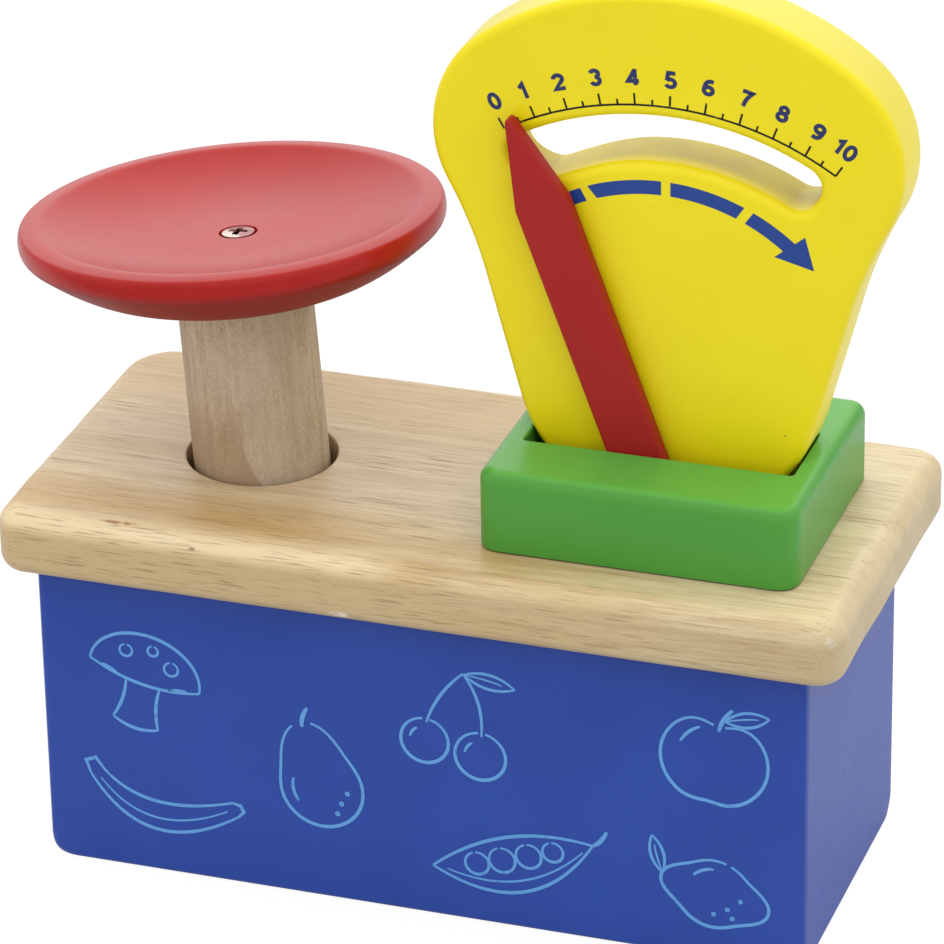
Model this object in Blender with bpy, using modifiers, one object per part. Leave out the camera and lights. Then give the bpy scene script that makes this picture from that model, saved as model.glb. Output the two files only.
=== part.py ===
"""Toy kitchen scale: a wooden box whose weighing pan, when pressed, swings a pointer over a dial.

The origin is on the floor under the middle of the top board. X runs to the right along the front,
Y to the back and Z up. Everything is in metres. The pan's post stands loosely in its hole, so it
leans a little, and it pushes down a sprung platform. A bar on the platform has a slanted slot that
moves a pin in the pointer's tail.
"""

import math

import bmesh
import bpy
from mathutils import Euler, Vector

MM = 0.001
GAP = 0.3 * MM

# Box: four mitred walls with rounded outer edges
BOX_CENTRE = Vector((-1.4 * MM, -0.5 * MM, 0.0))
BOX_WIDTH = 201.7 * MM
BOX_DEPTH = 84.6 * MM
WALL_THICK = 9.0 * MM
WALL_HEIGHT = 84.7 * MM
WALL_ROUND = 1.6 * MM
PANEL_THICK = 6.0 * MM
CLEAT_SIDE = 10.0 * MM
CLEAT_LENGTH = 170.0 * MM
BOTTOM_SCREW_X = 60.0 * MM

# Top board, with the loose hole for the post
BOARD_LENGTH = 220.0 * MM
BOARD_DEPTH = 104.8 * MM
BOARD_THICK = 17.9 * MM
BOARD_LOW = WALL_HEIGHT + GAP
BOARD_TOP = BOARD_LOW + BOARD_THICK
BOARD_CORNERS = (8.0 * MM, 8.0 * MM, 7.5 * MM, 14.0 * MM)
BOARD_ROUND = 5.0 * MM
HOLE_AT = Vector((-56.1 * MM, -1.2 * MM, 0.0))
HOLE_RADIUS = 19.3 * MM
HOLE_LOW_RADIUS = 20.3 * MM
BOARD_DOWEL_RADIUS = 3.0 * MM
BOARD_DOWEL_LENGTH = 19.0 * MM
BOARD_DOWEL_Y = 22.0 * MM

# Post and pan, which lean together; heights run along the post from the top of the board
POST_AT = Vector((-56.35 * MM, -1.3 * MM, BOARD_TOP))
POST_LEAN = Euler((math.radians(-3.4), math.radians(-5.3), 0.0))
POST_FOOT_RADIUS = 17.4 * MM
POST_HEAD_RADIUS = 17.2 * MM
POST_FOOT = -41.7 * MM
PAN_BASE = 49.1 * MM
PAN_BASE_RADIUS = 35.1 * MM
PAN_OFF_CENTRE = Vector((-1.1 * MM, -0.5 * MM, 0.0))
PAN_FLOOR = 59.4 * MM
PAN_RADIUS = 53.95 * MM
RIM_HEIGHT = 62.5 * MM
RIM_RADIUS = 3.75 * MM
COUNTERBORE_RADIUS = 4.65 * MM
COUNTERBORE_DEPTH = 1.0 * MM
PAN_SCREW_LENGTH = 35.0 * MM
PAN_TRAVEL = 22.0 * MM
STOP_PIN_HEIGHT = -22.9 * MM
STOP_PIN_RADIUS = 2.5 * MM
STOP_PIN_LENGTH = 48.0 * MM

# Dial block, with the slot that the dial board and the pointer stand in
BLOCK_LOW = Vector((13.1 * MM, -37.3 * MM, BOARD_TOP + GAP))
BLOCK_HIGH = Vector((94.5 * MM, 30.6 * MM, 124.35 * MM))
BLOCK_CORNER = 5.7 * MM
BLOCK_TOP_ROUND = 4.1 * MM
SLOT_FRONT = -16.7 * MM
SLOT_BACK = 7.9 * MM
SLOT_HALF_LENGTH = 34.5 * MM

# Dial board; heights are above the floor, widths are from its middle line
DIAL_X = 53.6 * MM
DIAL_FRONT = -10.5 * MM
DIAL_THICK = 18.0 * MM
DIAL_ROUND = 3.3 * MM
DIAL_FOOT = BOARD_TOP + GAP
DIAL_FOOT_HALF_WIDTH = 30.5 * MM
DIAL_TOP = 243.2 * MM
DIAL_HALF_WIDTH = 59.2 * MM
SHOULDER_HEIGHT = 203.0 * MM
SHOULDER_RADIUS = 30.8 * MM
FLANK_TOP_SLOPE = math.radians(28.2)
FLANK_LOW_SLOPE = math.radians(15.1)
FLANK_RADIUS = 111.0 * MM
FOOT_CURVE_RADIUS = 40.0 * MM
FOOT_CURVE_TOP = 132.8 * MM

# Curved window in the dial board
WINDOW_CENTRE = Vector((52.8 * MM, 134.8 * MM))
WINDOW_INNER = 64.9 * MM
WINDOW_OUTER = 77.2 * MM
WINDOW_LEFT = math.radians(-32.2)
WINDOW_RIGHT = math.radians(33.0)
WINDOW_CORNER = 5.6 * MM

# Pointer, turning on a pin in the foot of the dial board; lengths are from the pivot
PIVOT_HEIGHT = 107.5 * MM
POINTER_REST = math.radians(20.25)
POINTER_SWEEP = math.radians(44.0)
POINTER_FRONT = -16.2 * MM
POINTER_THICK = 5.0 * MM
POINTER_ROUND = 0.7 * MM
POINTER_HALF_WIDTH = 6.9 * MM
POINTER_SHOULDER = 84.8 * MM
POINTER_TIP = 109.9 * MM
POINTER_TIP_RADIUS = 1.8 * MM
TAIL_HALF_WIDTH = 6.0 * MM
TAIL_LENGTH = 58.5 * MM
PIVOT_PIN_RADIUS = 2.0 * MM
PIVOT_PIN_BACK = -2.3 * MM
DRIVE_PIN_RADIUS = 3.0 * MM
DRIVE_PIN_FRONT = -29.0 * MM
TAIL_SLOT_LOW = 35.0 * MM
TAIL_SLOT_HIGH = 70.8 * MM
TAIL_SLOT_WIDTH = 6.6 * MM

# Lift platform under the post, its guides and its spring
LIFT_X = -53.5 * MM
LIFT_Y = -3.1 * MM
LIFT_TOP = 59.2 * MM
LIFT_THICK = 12.0 * MM
LIFT_LENGTH = 71.0 * MM
LIFT_FRONT = -21.2 * MM
LIFT_BACK = 15.0 * MM
LIFT_ROUND = 1.5 * MM
GUIDE_RADIUS = 4.0 * MM
GUIDE_SPACING = 59.0 * MM
GUIDE_POCKET = 8.0 * MM
PANEL_POCKET = 4.0 * MM
PEG_RADIUS = 5.5 * MM
PEG_TOP = 17.0 * MM
SPRING_RADIUS = 8.2 * MM
SPRING_WIRE = 1.6 * MM
SPRING_TURNS = 7
POINTS_PER_TURN = 9

# Cam bar, screwed to the front of the platform
BAR_THICK = 6.0 * MM
BAR_LOW = 47.7 * MM
BAR_HIGH = 58.7 * MM
BAR_WALL = 4.65 * MM
PIN_PLAY = 0.35 * MM
GUSSET_RADIUS = 8.0 * MM
BAR_SCREW_SPACING = 32.0 * MM

# Countersunk wood screws: head radius, shank radius
LARGE_SCREW = (4.1 * MM, 2.0 * MM)
SMALL_SCREW = (3.1 * MM, 1.5 * MM)
SCREW_EDGE = 0.4 * MM
SCREW_TIP = 3.0 * MM
FRAME_SCREW_LENGTH = 30.0 * MM
BAR_SCREW_LENGTH = 18.0 * MM
BOTTOM_SCREW_LENGTH = 14.0 * MM
SCREW_SINK = 0.3 * MM
DIAL_SCREW_X = 25.0 * MM

ROUND_STEPS = 20
POST_STEPS = 40
PAN_STEPS = 48

POST_AXIS = POST_LEAN.to_matrix() @ Vector((0.0, 0.0, 1.0))
LIFT_TRAVEL = PAN_TRAVEL * POST_AXIS.z
FACE_FRONT = Euler((math.radians(90.0), 0.0, 0.0))
POINT_DOWN = Euler((math.radians(180.0), 0.0, 0.0))


def empty_scene():
    """Remove every object that the file starts with."""
    for thing in list(bpy.data.objects):
        bpy.data.objects.remove(thing, do_unlink=True)


def make_collection(name):
    """A new collection in the scene."""
    group = bpy.data.collections.new(name)
    bpy.context.scene.collection.children.link(group)
    return group


def paint(name, colour, roughness, metallic=0.0):
    """A plain finish: one colour, one roughness."""
    finish = bpy.data.materials.new(name)
    finish.use_nodes = True
    shader = finish.node_tree.nodes["Principled BSDF"]
    shader.inputs["Base Color"].default_value = (*colour, 1.0)
    shader.inputs["Roughness"].default_value = roughness
    shader.inputs["Metallic"].default_value = metallic
    return finish


empty_scene()
PARTS = make_collection("toy_kitchen_scale")
CUTTERS = make_collection("cutters")
BARE_WOOD = paint("bare_wood", (0.66, 0.50, 0.31), 0.6)
POST_WOOD = paint("post_wood", (0.55, 0.43, 0.31), 0.65)
INNER_WOOD = paint("inner_wood", (0.60, 0.45, 0.28), 0.7)
BLUE_PAINT = paint("blue_paint", (0.05, 0.09, 0.36), 0.45)
RED_PAINT = paint("red_paint", (0.55, 0.03, 0.03), 0.3)
POINTER_PAINT = paint("pointer_paint", (0.40, 0.02, 0.02), 0.35)
YELLOW_PAINT = paint("yellow_paint", (0.80, 0.66, 0.03), 0.4)
GREEN_PAINT = paint("green_paint", (0.10, 0.36, 0.06), 0.35)
STEEL = paint("steel", (0.70, 0.70, 0.70), 0.3, 1.0)


def place(name, mesh, finish, at=(0.0, 0.0, 0.0), turn=Euler()):
    """Put a mesh in the scene, as a piece if it has a finish and as a cutter if it has none."""
    thing = bpy.data.objects.new(name, mesh)
    thing.location = at
    thing.rotation_euler = turn
    if finish is None:
        CUTTERS.objects.link(thing)
        thing.hide_render = True
        thing.display_type = "WIRE"
        return thing
    PARTS.objects.link(thing)
    mesh.materials.append(finish)
    return thing


def cut(piece, *cutters, operation="DIFFERENCE"):
    """Take each cutter away from the piece, or keep only what lies inside it."""
    for cutter in cutters:
        boolean = piece.modifiers.new("cut", "BOOLEAN")
        boolean.operation = operation
        boolean.object = cutter
        boolean.solver = "EXACT"


def block_mesh(low, high):
    """A box between two corners, from a unit cube."""
    low, high = Vector(low), Vector(high)
    size = high - low
    shape = bmesh.new()
    bmesh.ops.create_cube(shape, size=1.0)
    bmesh.ops.scale(shape, vec=size, verts=shape.verts)
    bmesh.ops.translate(shape, vec=(low + high) / 2, verts=shape.verts)
    return shape


def finish_mesh(shape, name):
    """Turn an edit mesh into mesh data."""
    mesh = bpy.data.meshes.new(name)
    shape.to_mesh(mesh)
    shape.free()
    return mesh


def is_upright(edge):
    """Whether an edge runs straight up."""
    low, high = edge.verts
    return abs(low.co.x - high.co.x) + abs(low.co.y - high.co.y) < GAP


def is_at_height(edge, height):
    """Whether both ends of an edge are at a height."""
    return all(abs(corner.co.z - height) < GAP for corner in edge.verts)


def round_edges(shape, wanted, radius, segments):
    """Round the edges that a test picks out."""
    edges = [edge for edge in shape.edges if wanted(edge)]
    bmesh.ops.bevel(shape, geom=edges, offset=radius, segments=segments, profile=0.5, affect="EDGES")


def turned(name, profile, finish, at=(0.0, 0.0, 0.0), turn=Euler(), steps=ROUND_STEPS):
    """A turned shape: a profile of (radius, height) points, down the outer side, spun round Z."""
    corners = [(radius, 0.0, height) for radius, height in profile]
    links = [(n, n + 1) for n in range(len(corners) - 1)]
    mesh = bpy.data.meshes.new(name)
    mesh.from_pydata(corners, links, [])
    thing = place(name, mesh, finish, at, turn)
    spin = thing.modifiers.new("spin", "SCREW")
    spin.steps = steps
    spin.render_steps = steps
    spin.use_merge_vertices = True
    spin.merge_threshold = 0.00001
    spin.use_smooth_shade = True
    return thing


def rod_profile(radius, length, chamfer=0.0):
    """The profile of a round rod that stands on z = 0, with small chamfers."""
    profile = [(0.0, length), (radius - chamfer, length)]
    if chamfer:
        profile.append((radius, length - chamfer))
        profile.append((radius, chamfer))
    profile.append((radius - chamfer, 0.0))
    profile.append((0.0, 0.0))
    return profile


def rod(name, radius, length, finish, at, turn=Euler(), steps=ROUND_STEPS, chamfer=0.0):
    """A round rod from a point along its own Z."""
    return turned(name, rod_profile(radius, length, chamfer), finish, at, turn, steps)


def screw_profile(size, length, room=0.0):
    """The profile of a countersunk screw whose head's top is at z = 0, or of the hole for it."""
    head, shank = size
    neck = -SCREW_EDGE - (head - shank)
    return [
        (0.0, 10 * room),
        (head + room, 10 * room),
        (head + room, -SCREW_EDGE),
        (shank + room, neck),
        (shank + room, SCREW_TIP - length - room),
        (0.0, -length - 2 * room),
    ]


def screw(name, size, length, at, turn=Euler()):
    """A countersunk screw and the cutter for its hole."""
    turned(name, screw_profile(size, length), STEEL, at, turn)
    return turned(name + "_hole", screw_profile(size, length, GAP), None, at, turn)


def arc(centre, radius, start, end, steps):
    """Points of a circular arc; angles run from straight up, clockwise positive."""
    points = []
    for n in range(steps + 1):
        angle = start + (end - start) * n / steps
        points.append(Vector((centre[0] + radius * math.sin(angle), centre[1] + radius * math.cos(angle))))
    return points


def mirrored(points, middle):
    """The points reflected in an upright line, in reverse order."""
    return [Vector((2 * middle - point[0], point[1])) for point in reversed(points)]


def flat(name, outlines, thickness, finish, at=(0.0, 0.0, 0.0), turn=Euler(), edge_round=0.0):
    """A flat piece: filled 2D outlines, extruded to both sides, with rounded edges outside them."""
    drawing = bpy.data.curves.new(name, "CURVE")
    drawing.dimensions = "2D"
    drawing.fill_mode = "BOTH"
    drawing.extrude = thickness / 2 - edge_round
    drawing.bevel_depth = edge_round
    drawing.bevel_resolution = 1
    for outline in outlines:
        spline = drawing.splines.new("POLY")
        spline.points.add(len(outline) - 1)
        for corner, point in zip(spline.points, outline):
            corner.co = (point[0], point[1], 0.0, 1.0)
        spline.use_cyclic_u = True
    sketch = bpy.data.objects.new(name + "_sketch", drawing)
    sketch.location = at
    sketch.rotation_euler = turn
    CUTTERS.objects.link(sketch)
    return solid_of(sketch, name, finish)


def solid_of(sketch, name, finish):
    """Make a curve object into a closed mesh object in the same place."""
    bpy.context.view_layer.update()
    depsgraph = bpy.context.evaluated_depsgraph_get()
    mesh = bpy.data.meshes.new_from_object(sketch.evaluated_get(depsgraph))
    shape = bmesh.new()
    shape.from_mesh(mesh)
    bmesh.ops.remove_doubles(shape, verts=shape.verts, dist=0.000001)
    bmesh.ops.recalc_face_normals(shape, faces=shape.faces)
    shape.to_mesh(mesh)
    shape.free()
    mesh.name = name
    mesh.materials.clear()
    matrix = sketch.matrix_world.copy()
    bpy.data.objects.remove(sketch, do_unlink=True)
    thing = place(name, mesh, finish)
    thing.matrix_world = matrix
    return thing


def rounded_rectangle(half_x, half_y, radii, steps):
    """A rectangle round the origin with arcs for corners, clockwise from the back right."""
    quarter = math.radians(90.0)
    outline = []
    sides = ((1, 1), (1, -1), (-1, -1), (-1, 1))
    for n, ((side_x, side_y), radius) in enumerate(zip(sides, radii)):
        centre = (side_x * (half_x - radius), side_y * (half_y - radius))
        outline += arc(centre, radius, n * quarter, (n + 1) * quarter, steps)
    return outline


def joint_empty(name, at, turn=Euler()):
    """An empty on a joint's axis, for the moving pieces to hang on."""
    axis = bpy.data.objects.new(name, None)
    axis.location = at
    axis.rotation_euler = turn
    PARTS.objects.link(axis)
    return axis


def hang(axis, *pieces):
    """Parent pieces to a joint's empty and keep them where they are."""
    bpy.context.view_layer.update()
    for piece in pieces:
        piece.parent = axis
        piece.matrix_parent_inverse = axis.matrix_world.inverted()


def case_half_sizes():
    """Half the width and half the depth of the box."""
    return BOX_WIDTH / 2, BOX_DEPTH / 2


def wall(name, outline, cavity):
    """One mitred wall: the rounded box without its cavity, kept inside a wedge."""
    half_x, half_y = case_half_sizes()
    shape = block_mesh((-half_x, -half_y, 0.0), (half_x, half_y, WALL_HEIGHT))
    round_edges(shape, lambda edge: not is_at_height(edge, WALL_HEIGHT), WALL_ROUND, 3)
    piece = place(name, finish_mesh(shape, name), BLUE_PAINT, BOX_CENTRE)
    wedge = flat(name + "_wedge", [outline], 3 * WALL_HEIGHT, None, BOX_CENTRE)
    cut(piece, cavity)
    cut(piece, wedge, operation="INTERSECT")
    return piece


def make_box(board):
    """The four walls, the bottom panel on its cleats, and the dowels into the top board."""
    half_x, half_y = case_half_sizes()
    inner_x, inner_y = half_x - WALL_THICK, half_y - WALL_THICK
    shape = block_mesh((-inner_x, -inner_y, -WALL_HEIGHT), (inner_x, inner_y, 2 * WALL_HEIGHT))
    cavity = place("cavity", finish_mesh(shape, "cavity"), None, BOX_CENTRE)
    out, deep = 2 * WALL_THICK, 1.5 * WALL_THICK
    mitre = GAP * math.sqrt(0.5)
    front = [
        (-half_x - out + mitre, -half_y - out),
        (half_x + out - mitre, -half_y - out),
        (half_x - deep - mitre, -half_y + deep),
        (-half_x + deep + mitre, -half_y + deep),
    ]
    left = [
        (-half_x - out, -half_y - out + mitre),
        (-half_x + deep, -half_y + deep + mitre),
        (-half_x + deep, half_y - deep - mitre),
        (-half_x - out, half_y + out - mitre),
    ]
    wall("front_wall", front, cavity)
    wall("back_wall", [(x, -y) for x, y in front], cavity)
    left_wall = wall("left_wall", left, cavity)
    right_wall = wall("right_wall", [(-x, y) for x, y in left], cavity)

    shape = block_mesh((GAP - inner_x, GAP - inner_y, 0.0), (inner_x - GAP, inner_y - GAP, PANEL_THICK))
    panel = place("bottom_panel", finish_mesh(shape, "bottom_panel"), INNER_WOOD, BOX_CENTRE)
    cleats = []
    for name, side in (("front_cleat", -1), ("back_cleat", 1)):
        middle = side * (inner_y - GAP - CLEAT_SIDE / 2)
        low = (-CLEAT_LENGTH / 2, middle - CLEAT_SIDE / 2, PANEL_THICK + GAP)
        high = (CLEAT_LENGTH / 2, middle + CLEAT_SIDE / 2, PANEL_THICK + GAP + CLEAT_SIDE)
        cleat = place(name, finish_mesh(block_mesh(low, high), name), INNER_WOOD, BOX_CENTRE)
        cleats.append((cleat, middle))
    number = 0
    for cleat, middle in cleats:
        for side in (-1, 1):
            number += 1
            at = BOX_CENTRE + Vector((side * BOTTOM_SCREW_X, middle, SCREW_SINK))
            hole = screw(f"bottom_screw_{number}", SMALL_SCREW, BOTTOM_SCREW_LENGTH, at, POINT_DOWN)
            cut(panel, hole)
            cut(cleat, hole)
    number = 0
    for end, side_x in ((left_wall, -1), (right_wall, 1)):
        for side_y in (-1, 1):
            number += 1
            foot = BOARD_LOW - BOARD_DOWEL_LENGTH / 2
            at = BOX_CENTRE + Vector((side_x * (half_x - WALL_THICK / 2), side_y * BOARD_DOWEL_Y, foot))
            name = f"board_dowel_{number}"
            rod(name, BOARD_DOWEL_RADIUS, BOARD_DOWEL_LENGTH, INNER_WOOD, at, steps=14, chamfer=0.5 * MM)
            under = at - Vector((0.0, 0.0, GAP))
            room = BOARD_DOWEL_LENGTH + 2 * GAP
            hole = rod(name + "_hole", BOARD_DOWEL_RADIUS + GAP, room, None, under, steps=14)
            cut(end, hole)
            cut(board, hole)
    return panel


def make_board():
    """The top board: a rounded plank with the hole for the post and the slot for the pointer's tail."""
    flat_corners = [corner - BOARD_ROUND for corner in BOARD_CORNERS]
    half_x, half_y = BOARD_LENGTH / 2 - BOARD_ROUND, BOARD_DEPTH / 2 - BOARD_ROUND
    outline = rounded_rectangle(half_x, half_y, flat_corners, 6)
    middle = Vector((0.0, 0.0, BOARD_LOW + BOARD_THICK / 2))
    board = flat("top_board", [outline], BOARD_THICK, BARE_WOOD, middle, edge_round=BOARD_ROUND)
    depth = BOARD_THICK + 20 * GAP
    hole_profile = [
        (0.0, BOARD_TOP + 10 * GAP),
        (HOLE_RADIUS, BOARD_TOP + 10 * GAP),
        (HOLE_RADIUS, BOARD_TOP - BOARD_THICK / 4),
        (HOLE_LOW_RADIUS, BOARD_LOW),
        (HOLE_LOW_RADIUS, BOARD_LOW - 10 * GAP),
        (0.0, BOARD_LOW - 10 * GAP),
    ]
    hole = turned("post_hole", hole_profile, None, HOLE_AT, steps=POST_STEPS)
    half_length = (TAIL_SLOT_HIGH - TAIL_SLOT_LOW) / 2
    slot_outline = rounded_rectangle(half_length, TAIL_SLOT_WIDTH / 2, [TAIL_SLOT_WIDTH / 2.01] * 4, 5)
    slot_y = POINTER_FRONT + POINTER_THICK / 2
    slot_at = Vector(((TAIL_SLOT_LOW + TAIL_SLOT_HIGH) / 2, slot_y, middle.z))
    slot = flat("tail_slot", [slot_outline], depth, None, slot_at)
    cut(board, hole, slot)
    return board


def pan_profile():
    """The pan in section: dished floor, round rim and flared underside."""
    profile = [(0.0, PAN_FLOOR)]
    rim_centre = PAN_RADIUS - RIM_RADIUS
    crease = rim_centre + RIM_RADIUS * math.cos(math.radians(140.0))
    crease_rise = RIM_HEIGHT + RIM_RADIUS * math.sin(math.radians(140.0)) - PAN_FLOOR
    for share in (0.25, 0.45, 0.6, 0.72, 0.82, 0.91):
        profile.append((share * crease, PAN_FLOOR + crease_rise * share ** 3.5))
    for degrees in range(140, -60, -24):
        angle = math.radians(degrees)
        profile.append((rim_centre + RIM_RADIUS * math.cos(angle), RIM_HEIGHT + RIM_RADIUS * math.sin(angle)))
    start, end = Vector(profile[-1]), Vector((PAN_BASE_RADIUS, PAN_BASE))
    pull = Vector((0.82 * start.x, PAN_BASE + 0.17 * (start.y - PAN_BASE)))
    for share in (0.2, 0.4, 0.6, 0.8, 1.0):
        spot = start * (1 - share) ** 2 + pull * 2 * share * (1 - share) + end * share ** 2
        profile.append(tuple(spot))
    profile.append((0.0, PAN_BASE))
    return profile


def pan_hole_profile():
    """The counterbored and countersunk hole for the pan's screw, in section."""
    head, shank = LARGE_SCREW
    seat = PAN_FLOOR - COUNTERBORE_DEPTH
    return [
        (0.0, PAN_FLOOR + 10 * GAP),
        (COUNTERBORE_RADIUS, PAN_FLOOR + 10 * GAP),
        (COUNTERBORE_RADIUS, seat),
        (head + GAP, seat - SCREW_EDGE),
        (shank + GAP, seat - SCREW_EDGE - (head - shank)),
        (shank + GAP, PAN_BASE - 10 * GAP),
        (0.0, PAN_BASE - 10 * GAP),
    ]


def post_profile():
    """The post in section, slightly tapered, with the hole for the pan's screw."""
    _, shank = LARGE_SCREW
    head = PAN_BASE - GAP
    hole_end = PAN_FLOOR - COUNTERBORE_DEPTH - PAN_SCREW_LENGTH - 2 * GAP
    edge = 1.0 * MM
    return [
        (0.0, hole_end),
        (shank + GAP, hole_end + SCREW_TIP),
        (shank + GAP, head),
        (POST_HEAD_RADIUS - edge, head),
        (POST_HEAD_RADIUS, head - edge),
        (POST_FOOT_RADIUS, POST_FOOT + edge),
        (POST_FOOT_RADIUS - edge, POST_FOOT),
        (0.0, POST_FOOT),
    ]


def along_post(height):
    """The point on the post's axis at a height along it."""
    return POST_AT + POST_AXIS * height


def make_post():
    """The post, its cross pin, the pan and the pan's screw, all on the leaning slide axis.

    The pan's hole is bored a little off its centre.
    """
    axis = joint_empty("post_axis", POST_AT, POST_LEAN)
    post = turned("post", post_profile(), POST_WOOD, POST_AT, POST_LEAN, POST_STEPS)
    lean = POST_LEAN.to_matrix()
    pan_at = POST_AT + lean @ PAN_OFF_CENTRE
    pan = turned("weighing_pan", pan_profile(), RED_PAINT, pan_at, POST_LEAN, PAN_STEPS)
    cut(pan, turned("pan_screw_hole", pan_hole_profile(), None, POST_AT, POST_LEAN))
    seat = along_post(PAN_FLOOR - COUNTERBORE_DEPTH)
    fastener = turned("pan_screw", screw_profile(LARGE_SCREW, PAN_SCREW_LENGTH), STEEL, seat, POST_LEAN)

    along = (lean @ FACE_FRONT.to_matrix()).to_euler()
    reach = lean @ Vector((0.0, STOP_PIN_LENGTH / 2, 0.0))
    back_end = along_post(STOP_PIN_HEIGHT) + reach
    pin = rod("stop_pin", STOP_PIN_RADIUS, STOP_PIN_LENGTH, INNER_WOOD, back_end, along, chamfer=0.5 * MM)
    hole = rod("stop_pin_hole", STOP_PIN_RADIUS + GAP, STOP_PIN_LENGTH, None, back_end, along)
    cut(post, hole)
    hang(axis, post, pan, fastener, pin)


def dial_outline(inset):
    """The dial board's outline: crown arc, shoulders, hollow flanks, rounded lower corners and a straight foot.

    The crown's radius is the one for which its arc meets both shoulder arcs smoothly.
    """
    shoulder_x = DIAL_HALF_WIDTH - SHOULDER_RADIUS
    rise = DIAL_TOP - SHOULDER_HEIGHT
    crown = (shoulder_x ** 2 + rise ** 2 - SHOULDER_RADIUS ** 2) / (2 * (rise - SHOULDER_RADIUS))
    crown_centre = (0.0, DIAL_TOP - crown)
    turn = math.atan2(shoulder_x, SHOULDER_HEIGHT - crown_centre[1])
    shoulder = (shoulder_x, SHOULDER_HEIGHT)
    right_angle = math.radians(90.0)
    half = arc(crown_centre, crown - inset, 0.0, turn, 7)
    half += arc(shoulder, SHOULDER_RADIUS - inset, turn, right_angle + FLANK_TOP_SLOPE, 9)[1:]
    outward = Vector((math.cos(FLANK_TOP_SLOPE), -math.sin(FLANK_TOP_SLOPE)))
    flank_centre = Vector(shoulder) + outward * (SHOULDER_RADIUS + FLANK_RADIUS)
    flank_start = math.radians(-90.0) + FLANK_TOP_SLOPE
    flank_end = math.radians(-90.0) + FLANK_LOW_SLOPE
    half += arc(flank_centre, FLANK_RADIUS + inset, flank_start, flank_end, 4)[1:]

    low_outward = Vector((math.cos(FLANK_LOW_SLOPE), -math.sin(FLANK_LOW_SLOPE)))
    flank_foot = flank_centre - low_outward * FLANK_RADIUS
    drop = (flank_foot.y - FOOT_CURVE_TOP) / math.cos(FLANK_LOW_SLOPE)
    bend = flank_foot - Vector((-low_outward.y, low_outward.x)) * drop
    curve_centre = bend - low_outward * FOOT_CURVE_RADIUS
    curve_radius = FOOT_CURVE_RADIUS - inset
    foot_x = DIAL_FOOT_HALF_WIDTH - inset
    curve_end = right_angle + math.acos((foot_x - curve_centre.x) / curve_radius)
    half += arc(curve_centre, curve_radius, right_angle + FLANK_LOW_SLOPE, curve_end, 5)
    half.append(Vector((foot_x, DIAL_FOOT + inset)))
    return half + mirrored(half[1:], 0.0)


def window_outline():
    """The curved window: a ring sector with rounded corners."""
    centre, corner = WINDOW_CENTRE, WINDOW_CORNER
    inner, outer = WINDOW_INNER + corner, WINDOW_OUTER - corner
    outline = []
    for radius, start, end, first in (
        (outer, WINDOW_LEFT, WINDOW_RIGHT, -90.0),
        (inner, WINDOW_RIGHT, WINDOW_LEFT, 90.0),
    ):
        step = math.copysign(math.asin(corner / radius), end - start)
        begin, finish = start + step, end - step
        quarter = math.radians(90.0)
        heading = math.radians(first)
        for angle, turn in ((begin, 0.0), (finish, quarter)):
            spot = arc(centre, radius, angle, angle, 1)[0]
            outline += arc(spot, corner, angle + heading + turn, angle + heading + turn + quarter, 4)
            if turn == 0.0:
                wide = WINDOW_OUTER if radius == outer else WINDOW_INNER
                outline += arc(centre, wide, begin, finish, 12)[1:-1]
    return outline


def make_dial(board):
    """The slotted block, the dial board standing in it, and the screws that hold both from below."""
    shape = block_mesh(BLOCK_LOW, BLOCK_HIGH)
    round_edges(shape, is_upright, BLOCK_CORNER, 5)
    round_edges(shape, lambda edge: is_at_height(edge, BLOCK_HIGH.z), BLOCK_TOP_ROUND, 3)
    block = place("dial_block", finish_mesh(shape, "dial_block"), GREEN_PAINT)
    low = (DIAL_X - SLOT_HALF_LENGTH, SLOT_FRONT, BOARD_LOW)
    high = (DIAL_X + SLOT_HALF_LENGTH, SLOT_BACK, DIAL_TOP)
    slot = place("dial_slot", finish_mesh(block_mesh(low, high), "dial_slot"), None)
    cut(block, slot)

    middle = DIAL_FRONT + DIAL_THICK / 2
    at = Vector((DIAL_X, middle, 0.0))
    dial = flat("dial_board", [dial_outline(DIAL_ROUND)], DIAL_THICK, YELLOW_PAINT, at, FACE_FRONT, DIAL_ROUND)
    window_at = Vector((0.0, middle, 0.0))
    window = flat("window", [window_outline()], 2 * DIAL_THICK, None, window_at, FACE_FRONT)
    pin_hole_at = Vector((DIAL_X, PIVOT_PIN_BACK + GAP, PIVOT_HEIGHT))
    pin_hole = rod("pivot_pin_hole", PIVOT_PIN_RADIUS + GAP, DIAL_THICK, None, pin_hole_at, FACE_FRONT)
    cut(dial, window, pin_hole)

    head_z = BOARD_LOW + SCREW_SINK
    walls_y = ((BLOCK_LOW.y + SLOT_FRONT) / 2, (BLOCK_HIGH.y + SLOT_BACK) / 2)
    for number, y in enumerate(walls_y, 1):
        at = Vector((DIAL_X, y, head_z))
        hole = screw(f"block_screw_{number}", LARGE_SCREW, FRAME_SCREW_LENGTH, at, POINT_DOWN)
        cut(board, hole)
        cut(block, hole)
    for number, side in enumerate((-1, 1), 1):
        at = Vector((DIAL_X + side * DIAL_SCREW_X, middle, head_z))
        hole = screw(f"dial_screw_{number}", LARGE_SCREW, FRAME_SCREW_LENGTH, at, POINT_DOWN)
        cut(board, hole)
        cut(dial, hole)


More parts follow.
